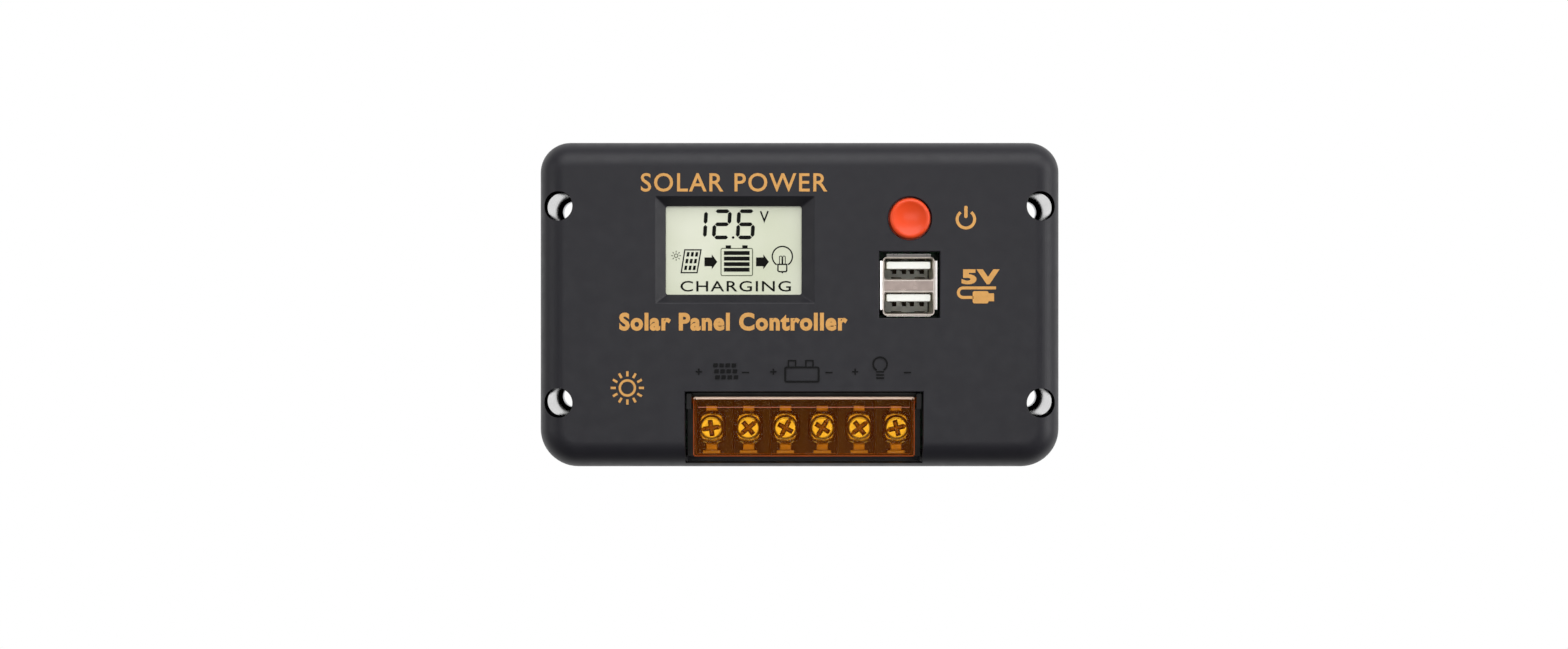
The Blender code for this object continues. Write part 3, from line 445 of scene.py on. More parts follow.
def prism(bm, points, y_a, y_b):
    """Straight body with the given outline."""
    loft(bm, [(points, y_a), (points, y_b)])


def box(bm, x_a, x_b, y_a, y_b, z_a, z_b):
    """Straight-sided block."""
    prism(bm, [(x_a, z_a), (x_b, z_a), (x_b, z_b), (x_a, z_b)], y_a, y_b)


def turned(bm, x, z, profile, steps):
    """Round body about an axis along Y, through (radius, y) pairs."""
    loft(bm, [(circle(x, z, radius, steps), y) for radius, y in profile])


def rod_along_x(bm, y, z, radius, x_a, x_b, steps):
    """Round body along X."""
    rings = []
    for x in (x_a, x_b):
        rings.append([bm.verts.new((x * MM, p * MM, q * MM)) for p, q in circle(y, z, radius, steps)])
    for i in range(steps):
        j = (i + 1) % steps
        bm.faces.new((rings[0][i], rings[0][j], rings[1][j], rings[1][i]))
    bm.faces.new(rings[0])
    bm.faces.new(rings[1])


def to_mesh(bm, name):
    """Finished mesh with its faces turned outwards."""
    bmesh.ops.recalc_face_normals(bm, faces=bm.faces)
    mesh = bpy.data.meshes.new(name)
    bm.to_mesh(mesh)
    bm.free()
    return mesh


def link(name, data):
    """New object in the scene."""
    item = bpy.data.objects.new(name, data)
    bpy.context.scene.collection.objects.link(item)
    return item


def combine(target, bm, operation):
    """Join or cut the target with the body in the bmesh, at once."""
    tool = link("tool", to_mesh(bm, "tool"))
    modifier = target.modifiers.new("Combine", "BOOLEAN")
    modifier.operation = operation
    modifier.solver = "EXACT"
    modifier.object = tool
    graph = bpy.context.evaluated_depsgraph_get()
    mesh = bpy.data.meshes.new_from_object(target.evaluated_get(graph))
    target.modifiers.remove(modifier)
    mesh.name = target.name
    target.data = mesh
    bpy.data.objects.remove(tool, do_unlink=True)


def mark_edges(item, degrees=32.0):
    """Smooth faces, with edges sharper than the angle kept crisp."""
    bm = bmesh.new()
    bm.from_mesh(item.data)
    limit = math.radians(degrees)
    for face in bm.faces:
        face.smooth = True
    for edge in bm.edges:
        edge.smooth = len(edge.link_faces) == 2 and edge.calc_face_angle() < limit
    bm.to_mesh(item.data)
    bm.free()


def soften(item, width):
    """Small round on every hard edge, with flat faces kept flat."""
    bevel = item.modifiers.new("Soft edges", "BEVEL")
    bevel.width = width * MM
    bevel.segments = 2
    bevel.limit_method = "ANGLE"
    bevel.angle_limit = math.radians(35.0)
    bevel.harden_normals = True


def keep_flats(item):
    """Weight normals by face area, so that flat faces shade flat."""
    weighted = item.modifiers.new("Flat faces", "WEIGHTED_NORMAL")
    weighted.mode = "FACE_AREA"
    weighted.keep_sharp = True
    weighted.weight = 100


def place(item, key, body, replaced=()):
    """Give a piece its material, its body and the CAD nodes it stands for."""
    item.data.materials.clear()
    add_materials(item, key)
    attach(item, body)
    if replaced:
        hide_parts(*replaced)
    return item


def piece(bm, name, key, body, replaced=()):
    """New piece from a finished body."""
    return place(link(name, to_mesh(bm, name)), key, body, replaced)


def add_materials(item, *keys):
    """Give an object its next materials."""
    for key in keys:
        item.data.materials.append(MATERIALS[key])


def stroke(bm, points, width, y_a, y_b, closed=False):
    """Flat line of constant width through the points, as one thin body per run."""
    path = list(points)
    if closed:
        path.append(path[0])
    count = len(path)
    left = []
    right = []
    for i, (x, z) in enumerate(path):
        before = path[i - 1] if i else (path[-2] if closed else None)
        after = path[i + 1] if i < count - 1 else (path[1] if closed else None)
        normals = []
        for a, b in ((before, (x, z)), ((x, z), after)):
            if a is None or b is None:
                continue
            run = Vector((b[0] - a[0], b[1] - a[1])).normalized()
            normals.append(Vector((-run.y, run.x)))
        normal = sum(normals, Vector((0.0, 0.0))).normalized()
        reach = width / 2.0 / max(normal.dot(normals[0]), 0.35)
        left.append((x + normal.x * reach, z + normal.y * reach))
        right.append((x - normal.x * reach, z - normal.y * reach))
    if not closed:
        prism(bm, left + right[::-1], y_a, y_b)
        return
    rings = []
    for points_2d, y in ((left, y_a), (right, y_a), (right, y_b), (left, y_b)):
        rings.append([bm.verts.new((px * MM, y * MM, pz * MM)) for px, pz in points_2d[:-1]])
    size = len(rings[0])
    for k in range(4):
        near = rings[k]
        far = rings[(k + 1) % 4]
        for i in range(size):
            j = (i + 1) % size
            bm.faces.new((near[i], near[j], far[j], far[i]))


# ---- Material helpers

class Nodes:
    """Short names for building one node material."""

    def __init__(self, name):
        self.material = bpy.data.materials.new(name)
        self.material.use_nodes = True
        self.tree = self.material.node_tree
        self.shader = self.tree.nodes["Principled BSDF"]
        self.output = self.tree.nodes["Material Output"]
        self.place = self.tree.nodes.new("ShaderNodeTexCoord").outputs["Object"]

    def new(self, kind, **values):
        """New shader node."""
        node = self.tree.nodes.new(kind)
        for key, value in values.items():
            setattr(node, key, value)
        return node

    def link(self, source, target):
        self.tree.links.new(source, target)

    def noise(self, scale, detail=4.0, rough=0.55, stretch=None):
        """Noise over the object, stretched along an axis if asked."""
        node = self.new("ShaderNodeTexNoise")
        node.inputs["Scale"].default_value = scale
        node.inputs["Detail"].default_value = detail
        node.inputs["Roughness"].default_value = rough
        source = self.place
        if stretch:
            mapping = self.new("ShaderNodeMapping")
            mapping.inputs["Scale"].default_value = stretch
            self.link(self.place, mapping.inputs["Vector"])
            source = mapping.outputs["Vector"]
        self.link(source, node.inputs["Vector"])
        return node.outputs["Fac"]

    def ramp(self, source, low, high, start=0.3, end=0.7):
        """Colour ramp between two colours."""
        node = self.new("ShaderNodeValToRGB")
        node.color_ramp.elements[0].position = start
        node.color_ramp.elements[0].color = low
        node.color_ramp.elements[1].position = end
        node.color_ramp.elements[1].color = high
        self.link(source, node.inputs["Fac"])
        return node.outputs["Color"]

    def span(self, source, low, high, start=0.3, end=0.7):
        """Number between low and high."""
        node = self.new("ShaderNodeMapRange")
        node.inputs["From Min"].default_value = start
        node.inputs["From Max"].default_value = end
        node.inputs["To Min"].default_value = low
        node.inputs["To Max"].default_value = high
        self.link(source, node.inputs["Value"])
        return node.outputs["Result"]

    def bump(self, source, strength, distance, after=None):
        """Surface relief, its distance in millimetres."""
        node = self.new("ShaderNodeBump")
        node.inputs["Strength"].default_value = strength
        node.inputs["Distance"].default_value = distance * MM
        self.link(source, node.inputs["Height"])
        if after:
            self.link(after, node.inputs["Normal"])
        return node.outputs["Normal"]

    def set(self, **values):
        """Link or set the shader's sockets."""
        names = {"base": "Base Color", "rough": "Roughness", "metal": "Metallic", "normal": "Normal"}
        names.update({"spec": "Specular IOR Level", "coat": "Coat Weight", "coat_rough": "Coat Roughness"})
        for key, value in values.items():
            socket = self.shader.inputs[names[key]]
            if hasattr(value, "links"):
                self.link(value, socket)
            else:
                socket.default_value = value
        return self.material


def moulded_plastic(name, base, spread, rough, grain=0.12, spec=0.5, coat=0.0):
    """Moulded plastic: fine texture, faint cloudiness, small changes in gloss."""
    m = Nodes(name)
    low = tuple(c * (1.0 - spread) for c in base[:3]) + (1.0,)
    high = tuple(min(c * (1.0 + spread), 1.0) for c in base[:3]) + (1.0,)
    tint = m.ramp(m.noise(90.0, 5.0), low, high)
    gloss = m.span(m.noise(320.0, 3.0), rough - 0.04, rough + 0.05)
    grain_height = m.noise(5200.0, 2.0, 0.6)
    wave = m.noise(150.0, 2.0)
    normal = m.bump(grain_height, grain, 0.012, m.bump(wave, 0.05, 0.05))
    return m.set(base=tint, rough=gloss, normal=normal, spec=spec, coat=coat, coat_rough=0.15)


def plated_metal(name, base, rough, scratch=0.12):
    """Nickel, brass or steel: fine streaks, dull patches and a little tarnish."""
    m = Nodes(name)
    dull = tuple(c * 0.9 for c in base[:3]) + (1.0,)
    tint = m.ramp(m.noise(420.0, 4.0), dull, base, 0.25, 0.6)
    gloss = m.span(m.noise(900.0, 4.0), rough - 0.04, rough + 0.06)
    streaks = m.noise(3800.0, 3.0, 0.6, (1.0, 1.0, 0.08))
    return m.set(base=tint, rough=gloss, metal=1.0, normal=m.bump(streaks, scratch, 0.004))


def brushed_sheet(name, base, rough):
    """Rolled sheet metal with long fine lines along X."""
    m = Nodes(name)
    lines = m.noise(2600.0, 4.0, 0.6, (0.02, 1.0, 1.0))
    low = tuple(c * 0.86 for c in base[:3]) + (1.0,)
    tint = m.ramp(lines, low, base, 0.3, 0.65)
    gloss = m.span(m.noise(60.0, 5.0), rough - 0.06, rough + 0.1)
    return m.set(base=tint, rough=gloss, metal=1.0, normal=m.bump(lines, 0.18, 0.01))


def board_laminate(name):
    """Green solder mask with faint buried tracks."""
    m = Nodes(name)
    cells = m.new("ShaderNodeTexVoronoi", feature="DISTANCE_TO_EDGE", distance="CHEBYCHEV")
    cells.inputs["Scale"].default_value = 260.0
    m.link(m.place, cells.inputs["Vector"])
    tint = m.ramp(cells.outputs["Distance"], colour(44, 116, 66), colour(22, 70, 42), 0.02, 0.08)
    height = m.span(cells.outputs["Distance"], 1.0, 0.0, 0.02, 0.08)
    return m.set(base=tint, rough=m.span(m.noise(700.0), 0.32, 0.45), normal=m.bump(height, 0.3, 0.03))


def display_face(name):
    """Pale reflective display: soft change of tone, fine dots, glossy cover."""
    m = Nodes(name)
    tint = m.ramp(m.noise(55.0, 2.0), colour(206, 211, 184), colour(221, 224, 204), 0.25, 0.75)
    dots = m.noise(9000.0, 1.0)
    return m.set(base=tint, rough=0.42, normal=m.bump(dots, 0.05, 0.004), coat=0.25, coat_rough=0.08)


def ink(name, base, rough=0.5, spec=0.5):
    """Pad-printed ink, a little uneven."""
    m = Nodes(name)
    low = tuple(c * 0.86 for c in base[:3]) + (1.0,)
    tint = m.ramp(m.noise(700.0, 4.0), low, base)
    gloss = m.span(m.noise(1500.0), rough - 0.06, rough + 0.08)
    return m.set(base=tint, rough=gloss, normal=m.bump(m.noise(4000.0), 0.1, 0.01), spec=spec)


def amber_plastic(name):
    """Clear amber plastic: tinted see-through body with a glossy, slightly hazy surface."""
    m = Nodes(name)
    cloud = m.ramp(m.noise(120.0, 3.0), colour(198, 84, 12), colour(224, 108, 20))
    normal = m.bump(m.noise(420.0, 2.0), 0.05, 0.02)
    m.set(base=cloud, rough=0.08, normal=normal, spec=0.5)
    clear = m.new("ShaderNodeBsdfTransparent")
    clear.inputs["Color"].default_value = (0.985, 0.845, 0.42, 1.0)
    facing = m.new("ShaderNodeLayerWeight")
    facing.inputs["Blend"].default_value = 0.35
    share = m.span(facing.outputs["Facing"], 0.05, 0.8, 0.0, 1.0)
    mix = m.new("ShaderNodeMixShader")
    m.link(share, mix.inputs[0])
    m.link(clear.outputs[0], mix.inputs[1])
    m.link(m.shader.outputs[0], mix.inputs[2])
    m.link(mix.outputs[0], m.output.inputs["Surface"])
    return m.material


def make_materials():
    """All materials, by the short names that the pieces use."""
    return {
        "case": moulded_plastic("case_satin_black", colour(27, 26, 32), 0.05, 0.44, 0.14, 0.36),
        # The three bore materials are copies of the case plastic: a lighter polished one as painted
        # reflection, and a darker glossy rim and a dark dull band as painted shade
        "bore": moulded_plastic("bore_polished_painted_reflection", colour(60, 60, 62), 0.05, 0.12, 0.03, 1.0, 1.0),
        "rim": moulded_plastic("bore_rim_painted_shade", colour(8, 8, 10), 0.05, 0.22, 0.03, 0.5),
        "shade": moulded_plastic("bore_painted_shade", colour(10, 10, 12), 0.05, 0.7, 0.03, 0.0),
        # Relief plastic darker than the case: painted shade on the raised pictures
        "relief": moulded_plastic("relief_painted_shade", colour(10, 10, 11), 0.05, 0.5, 0.1, 0.15),
        "block": moulded_plastic("block_black", colour(15, 13, 13), 0.08, 0.42, 0.12, 0.25),
        "button": moulded_plastic("button_orange", colour(234, 72, 24), 0.04, 0.36, 0.04, 0.32, 0.1),
        "white": moulded_plastic("moulded_white", colour(244, 245, 238), 0.02, 0.4, 0.08),
        "chip": moulded_plastic("chip_black", colour(34, 34, 36), 0.08, 0.55),
        "fuse": moulded_plastic("fuse_blue", colour(44, 120, 176), 0.05, 0.3),
        "sleeve": moulded_plastic("sleeve_blue", colour(38, 44, 78), 0.05, 0.35),
        "ferrite": moulded_plastic("ferrite_dark", colour(52, 50, 50), 0.1, 0.6),
        "nickel": plated_metal("nickel_sheet", colour(144, 131, 125), 0.3, 0.05),
        "housing": plated_metal("nickel_housing", colour(176, 167, 160), 0.3, 0.05),
        "lip": plated_metal("nickel_lip", colour(236, 232, 228), 0.3, 0.05),
        # Lighter copy of the nickel: painted light on the walls inside the ports
        "port": plated_metal("nickel_inside_painted_light", colour(240, 234, 218), 0.4, 0.05),
        # Darker, duller copy of the screw plating: painted shade in the screw recesses and clamp seats
        "recess": plated_metal("screw_recess", colour(156, 116, 72), 0.5, 0.1),
        "screw": plated_metal("nickel_screw", colour(236, 226, 200), 0.3, 0.1),
        "clamp": plated_metal("nickel_clamp", colour(200, 176, 146), 0.26, 0.1),
        "brass": plated_metal("contact_brass", colour(176, 138, 92), 0.36, 0.05),
        # Gold contacts coloured near black: painted shade under the tongues
        "gold_painted_shade": plated_metal("contact_gold_painted_shade", colour(36, 30, 24), 0.4),
        "steel": plated_metal("zinc_steel", colour(184, 184, 188), 0.3),
        "copper": plated_metal("winding_copper", colour(184, 106, 62), 0.3, 0.5),
        "aluminium": brushed_sheet("rolled_aluminium", colour(176, 178, 182), 0.36),
        "board": board_laminate("board_green"),
        "display": display_face("display_pale"),
        "segments": ink("display_segments", colour(9, 10, 7), 0.5, 0.1),
        "thin_lines": ink("display_thin_lines", colour(16, 18, 13), 0.5, 0.1),
        "faint_lines": ink("display_faint_lines", colour(92, 98, 78), 0.5, 0.1),
        "print": ink("ochre_print", colour(219, 161, 83)),
        "amber": amber_plastic("amber_clear"),
        # Flap edge materials: a darker copy of the amber as painted shade, a pale one as painted highlight
        "amber_painted_shade_edge": moulded_plastic("amber_painted_shade_edge", colour(172, 78, 28), 0.2, 0.2, 0.02, 0.5, 0.3),
        "amber_painted_highlight": moulded_plastic("amber_painted_highlight_edge", colour(250, 214, 190), 0.1, 0.2, 0.02, 0.6, 0.5),
    }


MATERIALS = make_materials()


# ---- Case

def outline(inset):
    """Case outline seen from the front, moved inwards."""
    top = max(TOP_CORNER_RADIUS - inset, SHARP_CORNER)
    bottom = max(BOTTOM_CORNER_RADIUS - inset, SHARP_CORNER)
    return rounded(0.0, 0.0, CASE_WIDTH - 2.0 * inset, CASE_HEIGHT - 2.0 * inset, top, bottom, CORNER_STEPS)


def edge_sections(offset):
    """Rounded front edge from the side wall to the front face."""
    radius = EDGE_RADIUS - offset
    sections = []
    for step in range(EDGE_STEPS + 1):
        angle = math.radians(90.0 * step / EDGE_STEPS)
        inset = EDGE_RADIUS - radius * math.cos(angle)
        sections.append((outline(inset), CASE_FRONT + EDGE_RADIUS - radius * math.sin(angle)))
    return sections


def rim_profile(radius):
    """(growth, y) pairs that round an opening's edge at the front face."""
    pairs = []
    for step in range(RIM_STEPS + 1):
        angle = math.radians(90.0 * step / RIM_STEPS)
        pairs.append((radius * (1.0 - math.cos(angle)), CASE_FRONT + radius - radius * math.sin(angle)))
    return pairs


def cut_with_rim(shell, shape, back, rim):
    """Cut a hole whose outline is shape(growth), with a rounded edge at the face."""
    sections = [(shape(0.0), back)]
    sections += [(shape(growth), y) for growth, y in rim_profile(rim)]
    sections.append((shape(rim), CASE_FRONT - OVERSHOOT))
    bm = bmesh.new()
    loft(bm, sections)
    combine(shell, bm, "DIFFERENCE")


def button_hole(growth):
    """Outline of the button's hole, widened."""
    return circle(BUTTON_X, BUTTON_Z, BUTTON_HOLE_RADIUS + growth, 72)


def make_case():
    """The moulded front shell, finer than the CAD node and with rounded opening edges."""
    inner = edge_sections(WALL)[::-1] + [(outline(WALL), CASE_BACK)]
    outer = [(outline(0.0), CASE_BACK)] + edge_sections(0.0)
    bm = bmesh.new()
    loft(bm, inner + outer)
    shell = link("case_shell", to_mesh(bm, "case_shell"))
    add_bore_posts(shell)
    cut_display_opening(shell)
    cut_with_rim(shell, lambda g: grown(USB_OPENING, g), WALL_BACK + OVERSHOOT, USB_OPENING_RIM)
    cut_with_rim(shell, button_hole, WALL_BACK + OVERSHOOT, BUTTON_HOLE_RIM)
    cut_with_rim(shell, lambda g: grown(WINDOW, g), WINDOW_BACK, WINDOW_RIM)
    cut_wire_slot(shell)
    cut_bores(shell)
    mark_edges(shell, 24.0)
    keep_flats(shell)
    place(shell, "case", "case", ["front_shell"])
    paint_bores(shell)


def add_bore_posts(shell):
    """Posts round the bores: a wide tube, and a narrow neck inside the rounded edge."""
    bm = bmesh.new()
    for x, z in BORES:
        prism(bm, circle(x, z, BORE_TUBE_RADIUS, 48), CASE_BACK, EDGE_END)
    combine(shell, bm, "UNION")
    bm = bmesh.new()
    for x, z in BORES:
        neck_x = x - math.copysign(BORE_NECK_SHIFT, x)
        prism(bm, circle(neck_x, z, BORE_NECK_RADIUS, 48), EDGE_END + OVERSHOOT, COLUMN_END)
    combine(shell, bm, "UNION")


def cut_display_opening(shell):
    """Sloped bezel that runs down to the display, with its edge eased at the face."""
    x, z, width, height = BEZEL
    deep = rounded(*DISPLAY, DISPLAY_CORNER, DISPLAY_CORNER, 5)
    wide = rounded(x, z, width, height, BEZEL_CORNER, BEZEL_CORNER, 5)
    share = (WALL - BEZEL_LIP) / WALL
    near = [(n[0] + (w[0] - n[0]) * share, n[1] + (w[1] - n[1]) * share) for n, w in zip(deep, wide)]
    corner = BEZEL_FLARE_CORNER
    out = rounded(x, z, width + BEZEL_FLARE, height + BEZEL_FLARE, corner, corner, 5)
    sections = [
        (deep, WALL_BACK + OVERSHOOT),
        (deep, WALL_BACK - BEZEL_FOOT),
        (near, CASE_FRONT + BEZEL_LIP),
        (wide, CASE_FRONT + BEZEL_EASE),
        (out, CASE_FRONT),
        (out, CASE_FRONT - OVERSHOOT),
    ]
    bm = bmesh.new()
    loft(bm, sections)
    combine(shell, bm, "DIFFERENCE")


def cut_wire_slot(shell):
    """Slot in the bottom wall where the wires come up into the terminals."""
    x = WINDOW[0]
    half = WINDOW[2] / 2.0
    under = -CASE_HEIGHT / 2.0 - OVERSHOOT
    bm = bmesh.new()
    box(bm, x - half, x + half, WINDOW_BACK, WIRE_SLOT_BACK, under, BLOCK_BOTTOM)
    combine(shell, bm, "DIFFERENCE")


def cut_bores(shell):
    """Mounting bores: a deep wide bore, and a narrow hole behind its seat."""
    profile = [(BORE_HOLE_RADIUS, CASE_BACK + OVERSHOOT), (BORE_HOLE_RADIUS, BORE_SEAT)]
    profile += [(BORE_RADIUS, BORE_SEAT), (BORE_RADIUS, CASE_FRONT + BORE_PAINTED_SHADE_END)]
    profile += [(BORE_RADIUS + growth, y) for growth, y in rim_profile(BORE_MOUTH)]
    profile += [(BORE_RADIUS + BORE_MOUTH, CASE_FRONT - OVERSHOOT)]
    bm = bmesh.new()
    for x, z in BORES:
        turned(bm, x, z, profile, 64)
    combine(shell, bm, "DIFFERENCE")


def paint_bores(shell):
    """Painted light in the bores: polished walls deep in them whose lighter tone is painted reflection, a
    band of painted shade before them and a rim at the mouth painted darker than the case.
    """
    add_materials(shell, "bore", "rim", "shade")
    polished, rim, shade = 1, 2, 3
    mouth = BORE_RADIUS + BORE_MOUTH
    for face in shell.data.polygons:
        middle = face.center / MM
        for x, z in BORES:
            off = math.hypot(middle.x - x, middle.z - z)
            on_wall = BORE_RADIUS - 0.1 < off < BORE_RADIUS + 0.01
            if on_wall and middle.y > CASE_FRONT + BORE_PAINTED_SHADE_END:
                face.material_index = polished
            elif off < mouth and middle.y < CASE_FRONT + BORE_GLOSS:
                face.material_index = rim
            elif off < mouth:
                face.material_index = shade


# ---- Display

def make_display():
    """Display panel with its digits and pictures as thin raised shapes."""
    x = (GLASS_LOW[0] + GLASS_HIGH[0]) / 2.0
    z = (GLASS_LOW[2] + GLASS_HIGH[2]) / 2.0
    width = GLASS_HIGH[0] - GLASS_LOW[0]
    height = GLASS_HIGH[2] - GLASS_LOW[2]
    front = GLASS_LOW[1]
    small_width = width - 2 * PANEL_EDGE
    small_height = height - 2 * PANEL_EDGE
    small = rounded(x, z, small_width, small_height, PANEL_EDGE_CORNER, PANEL_EDGE_CORNER, 4)
    full = rounded(x, z, width, height, PANEL_CORNER, PANEL_CORNER, 4)
    bm = bmesh.new()
    loft(bm, [(small, front + INK), (full, front + INK + PANEL_EDGE), (full, GLASS_HIGH[1])])
    panel = piece(bm, "display_panel", "display", "case", ["display_glass"])
    mark_edges(panel)
    keep_flats(panel)
    depth = (front, front + INK)
    draw_digits(depth)
    draw_flow_icons(depth)
    draw_thin_icons(depth)
    draw_faint_marks(depth)
    text, centre, *sizes = DISPLAY_WORD
    add_text("display_word", (text, on_display(*centre), *sizes), depth, "thin_lines")


def on_display(u, v):
    """Point on the display, from its centre."""
    return (DISPLAY[0] + u, DISPLAY[1] + v)


def drawn(points):
    """Points on the display, from its centre."""
    return [on_display(u, v) for u, v in points]


def segment_shape(kind):
    """Six-sided outline of one digit segment, from the digit's centre."""
    tip = SEGMENT_HALF
    if isinstance(kind, str):
        level = {"top": DIGIT_HALF_HEIGHT, "middle": 0.0, "bottom": -DIGIT_HALF_HEIGHT}[kind]
        end = DIGIT_HALF_WIDTH - SEGMENT_GAP
        top = [(-end, level), (-end + tip, level + tip), (end - tip, level + tip), (end, level)]
        return top + [(end - tip, level - tip), (-end + tip, level - tip)]
    side, upper = kind
    x = DIGIT_HALF_WIDTH if side else -DIGIT_HALF_WIDTH
    low = SEGMENT_GAP if upper else -DIGIT_HALF_HEIGHT + SEGMENT_GAP
    high = DIGIT_HALF_HEIGHT - SEGMENT_GAP if upper else -SEGMENT_GAP
    right = [(x, low), (x + tip, low + tip), (x + tip, high - tip), (x, high)]
    return right + [(x - tip, high - tip), (x - tip, low + tip)]


def draw_digits(depth):
    """Leaning segment digits and the decimal point."""
    bm = bmesh.new()
    for text, centre in DIGITS:
        for kind in SEGMENTS[text]:
            shape = [(centre + a + b * DIGIT_LEAN, DIGIT_LEVEL + b) for a, b in segment_shape(kind)]
            prism(bm, drawn(shape), *depth)
    prism(bm, circle(*on_display(*POINT), POINT_RADIUS, 20), *depth)
    piece(bm, "display_digits", "segments", "case")


def draw_flow_icons(depth):
    """Solar cells, arrows and battery charge bars."""
    bm = bmesh.new()
    for row in range(3):
        for column in range(3):
            v = CELL_START[1] - CELL_PITCH[1] * row
            u = CELL_START[0] + CELL_PITCH[0] * column + (v + CELL_LEAN_LEVEL) * CELL_LEAN
            prism(bm, drawn([(u + a + b * CELL_LEAN, v + b) for a, b in CELL]), *depth)
    for start in ARROW_STARTS:
        prism(bm, drawn([(start + a, ARROW_LEVEL + b) for a, b in ARROW]), *depth)
    for row in range(4):
        prism(bm, rectangle(*on_display(BATTERY_U, BAR_TOP - BAR_PITCH * row), *BAR_SIZE), *depth)
    for post in POSTS:
        prism(bm, rectangle(*on_display(*post), *POST_SIZE), *depth)
    piece(bm, "display_flow_icons", "segments", "case")


def draw_thin_icons(depth):
    """Outlines of the panel and the bulb, and the volt letter."""
    bm = bmesh.new()
    stroke(bm, drawn(PANEL_OUTLINE), PANEL_LINE, *depth, True)
    stroke(bm, drawn(VOLT_LETTER), VOLT_LINE, *depth)
    stroke(bm, drawn(arc(*BULB, 40)), BULB_LINE, *depth)
    stroke(bm, drawn(BULB_NECK), BULB_LINE, *depth, True)
    bottom, top = FILAMENT_ENDS
    for shift in FILAMENT_SHIFTS:
        u = BULB[0] + shift
        loop = [(u - FILAMENT_HALF, bottom), (u - FILAMENT_HALF, top)]
        loop += arc(u, top, FILAMENT_HALF, 180, 0, 8)[1:]
        loop += [(u + FILAMENT_HALF, bottom)]
        stroke(bm, drawn(loop), FINE_LINE, *depth)
    prism(bm, circle(*on_display(*BULB_TIP), BULB_TIP_RADIUS, 14), *depth)
    piece(bm, "display_outlines", "thin_lines", "case")


def draw_faint_marks(depth):
    """Battery outline and the small sun."""
    bm = bmesh.new()
    edge = rounded(*on_display(*BATTERY[:2]), *BATTERY[2:], BATTERY_CORNER, BATTERY_CORNER, 4)
    stroke(bm, edge, BATTERY_LINE, *depth, True)
    draw_sun(bm, on_display(*DISPLAY_SUN[0]), *DISPLAY_SUN[1:], depth)
    piece(bm, "display_faint_marks", "faint_lines", "case")


def draw_sun(bm, centre, radius, steps, reach, count, width, depth):
    """Ring with even rays round it."""
    x, z = centre
    stroke(bm, circle(x, z, radius, steps), width, *depth, True)
    for k in range(count):
        angle = math.radians(360 / count * k)
        stroke(bm, [(x + r * math.cos(angle), z + r * math.sin(angle)) for r in reach], width, *depth)


def add_text(name, word, depth, key):
    """Generic wording as thin raised letters, scaled to its height and width."""
    text, centre, height, width, weight = word
    front, back = depth
    curve = bpy.data.curves.new(name, "FONT")
    curve.body = text
    curve.size = 1.0
    curve.offset = weight
    curve.extrude = 0.5
    curve.resolution_u = 4
    curve.space_character = LETTER_SPACING
    source = link(name + "_source", curve)
    graph = bpy.context.evaluated_depsgraph_get()
    mesh = bpy.data.meshes.new_from_object(source.evaluated_get(graph))
    bpy.data.objects.remove(source, do_unlink=True)
    low = [min(v.co[i] for v in mesh.vertices) for i in range(3)]
    high = [max(v.co[i] for v in mesh.vertices) for i in range(3)]
    for vertex in mesh.vertices:
        a = (vertex.co[0] - low[0]) / (high[0] - low[0]) - 0.5
        b = (vertex.co[1] - low[1]) / (high[1] - low[1]) - 0.5
        c = (vertex.co[2] - low[2]) / (high[2] - low[2])
        x = centre[0] + a * width
        y = back + c * (front - back)
        z = centre[1] + b * height
        vertex.co = Vector((x * MM, y * MM, z * MM))
    mesh.name = name
    place(link(name, mesh), key, "case")


# ---- Print and relief

def make_print():
    """Ochre marks on the face: wording, power mark, plug mark and sun mark."""
    depth = (CASE_FRONT - INK, CASE_FRONT + PRINT_SINK)
    add_text("print_top_word", TOP_WORD, depth, "print")
    add_text("print_name_word", NAME_WORD, depth, "print")
    bm = bmesh.new()
    stroke(bm, arc(*POWER_RING, 36), MARK_LINE, *depth)
    prism(bm, rounded(*POWER_BAR, POWER_BAR_CORNER, POWER_BAR_CORNER, 5), *depth)
    piece(bm, "print_power_mark", "print", "case")
    x, z = PLUG_LOOP
    lead = [(PLUG_LINE_END, z + PLUG_LOOP_RADIUS), (x, z + PLUG_LOOP_RADIUS)]
    lead += arc(x, z, PLUG_LOOP_RADIUS, 90, 270, 16)[1:]
    lead += [(PLUG_LEAD_END, z - PLUG_LOOP_RADIUS)]
    bm = bmesh.new()
    stroke(bm, lead, MARK_LINE, *depth)
    prism(bm, rounded(*PLUG_BODY, PLUG_BODY_CORNER, PLUG_BODY_CORNER, 4), *depth)
    prism(bm, rectangle(*PLUG_TIP), *depth)
    piece(bm, "print_plug_mark", "print", "case")
    add_text("print_volt_mark", VOLT_WORD, depth, "print")
    bm = bmesh.new()
    draw_sun(bm, *SUN_MARK, depth)
    piece(bm, "print_sun_mark", "print", "case")


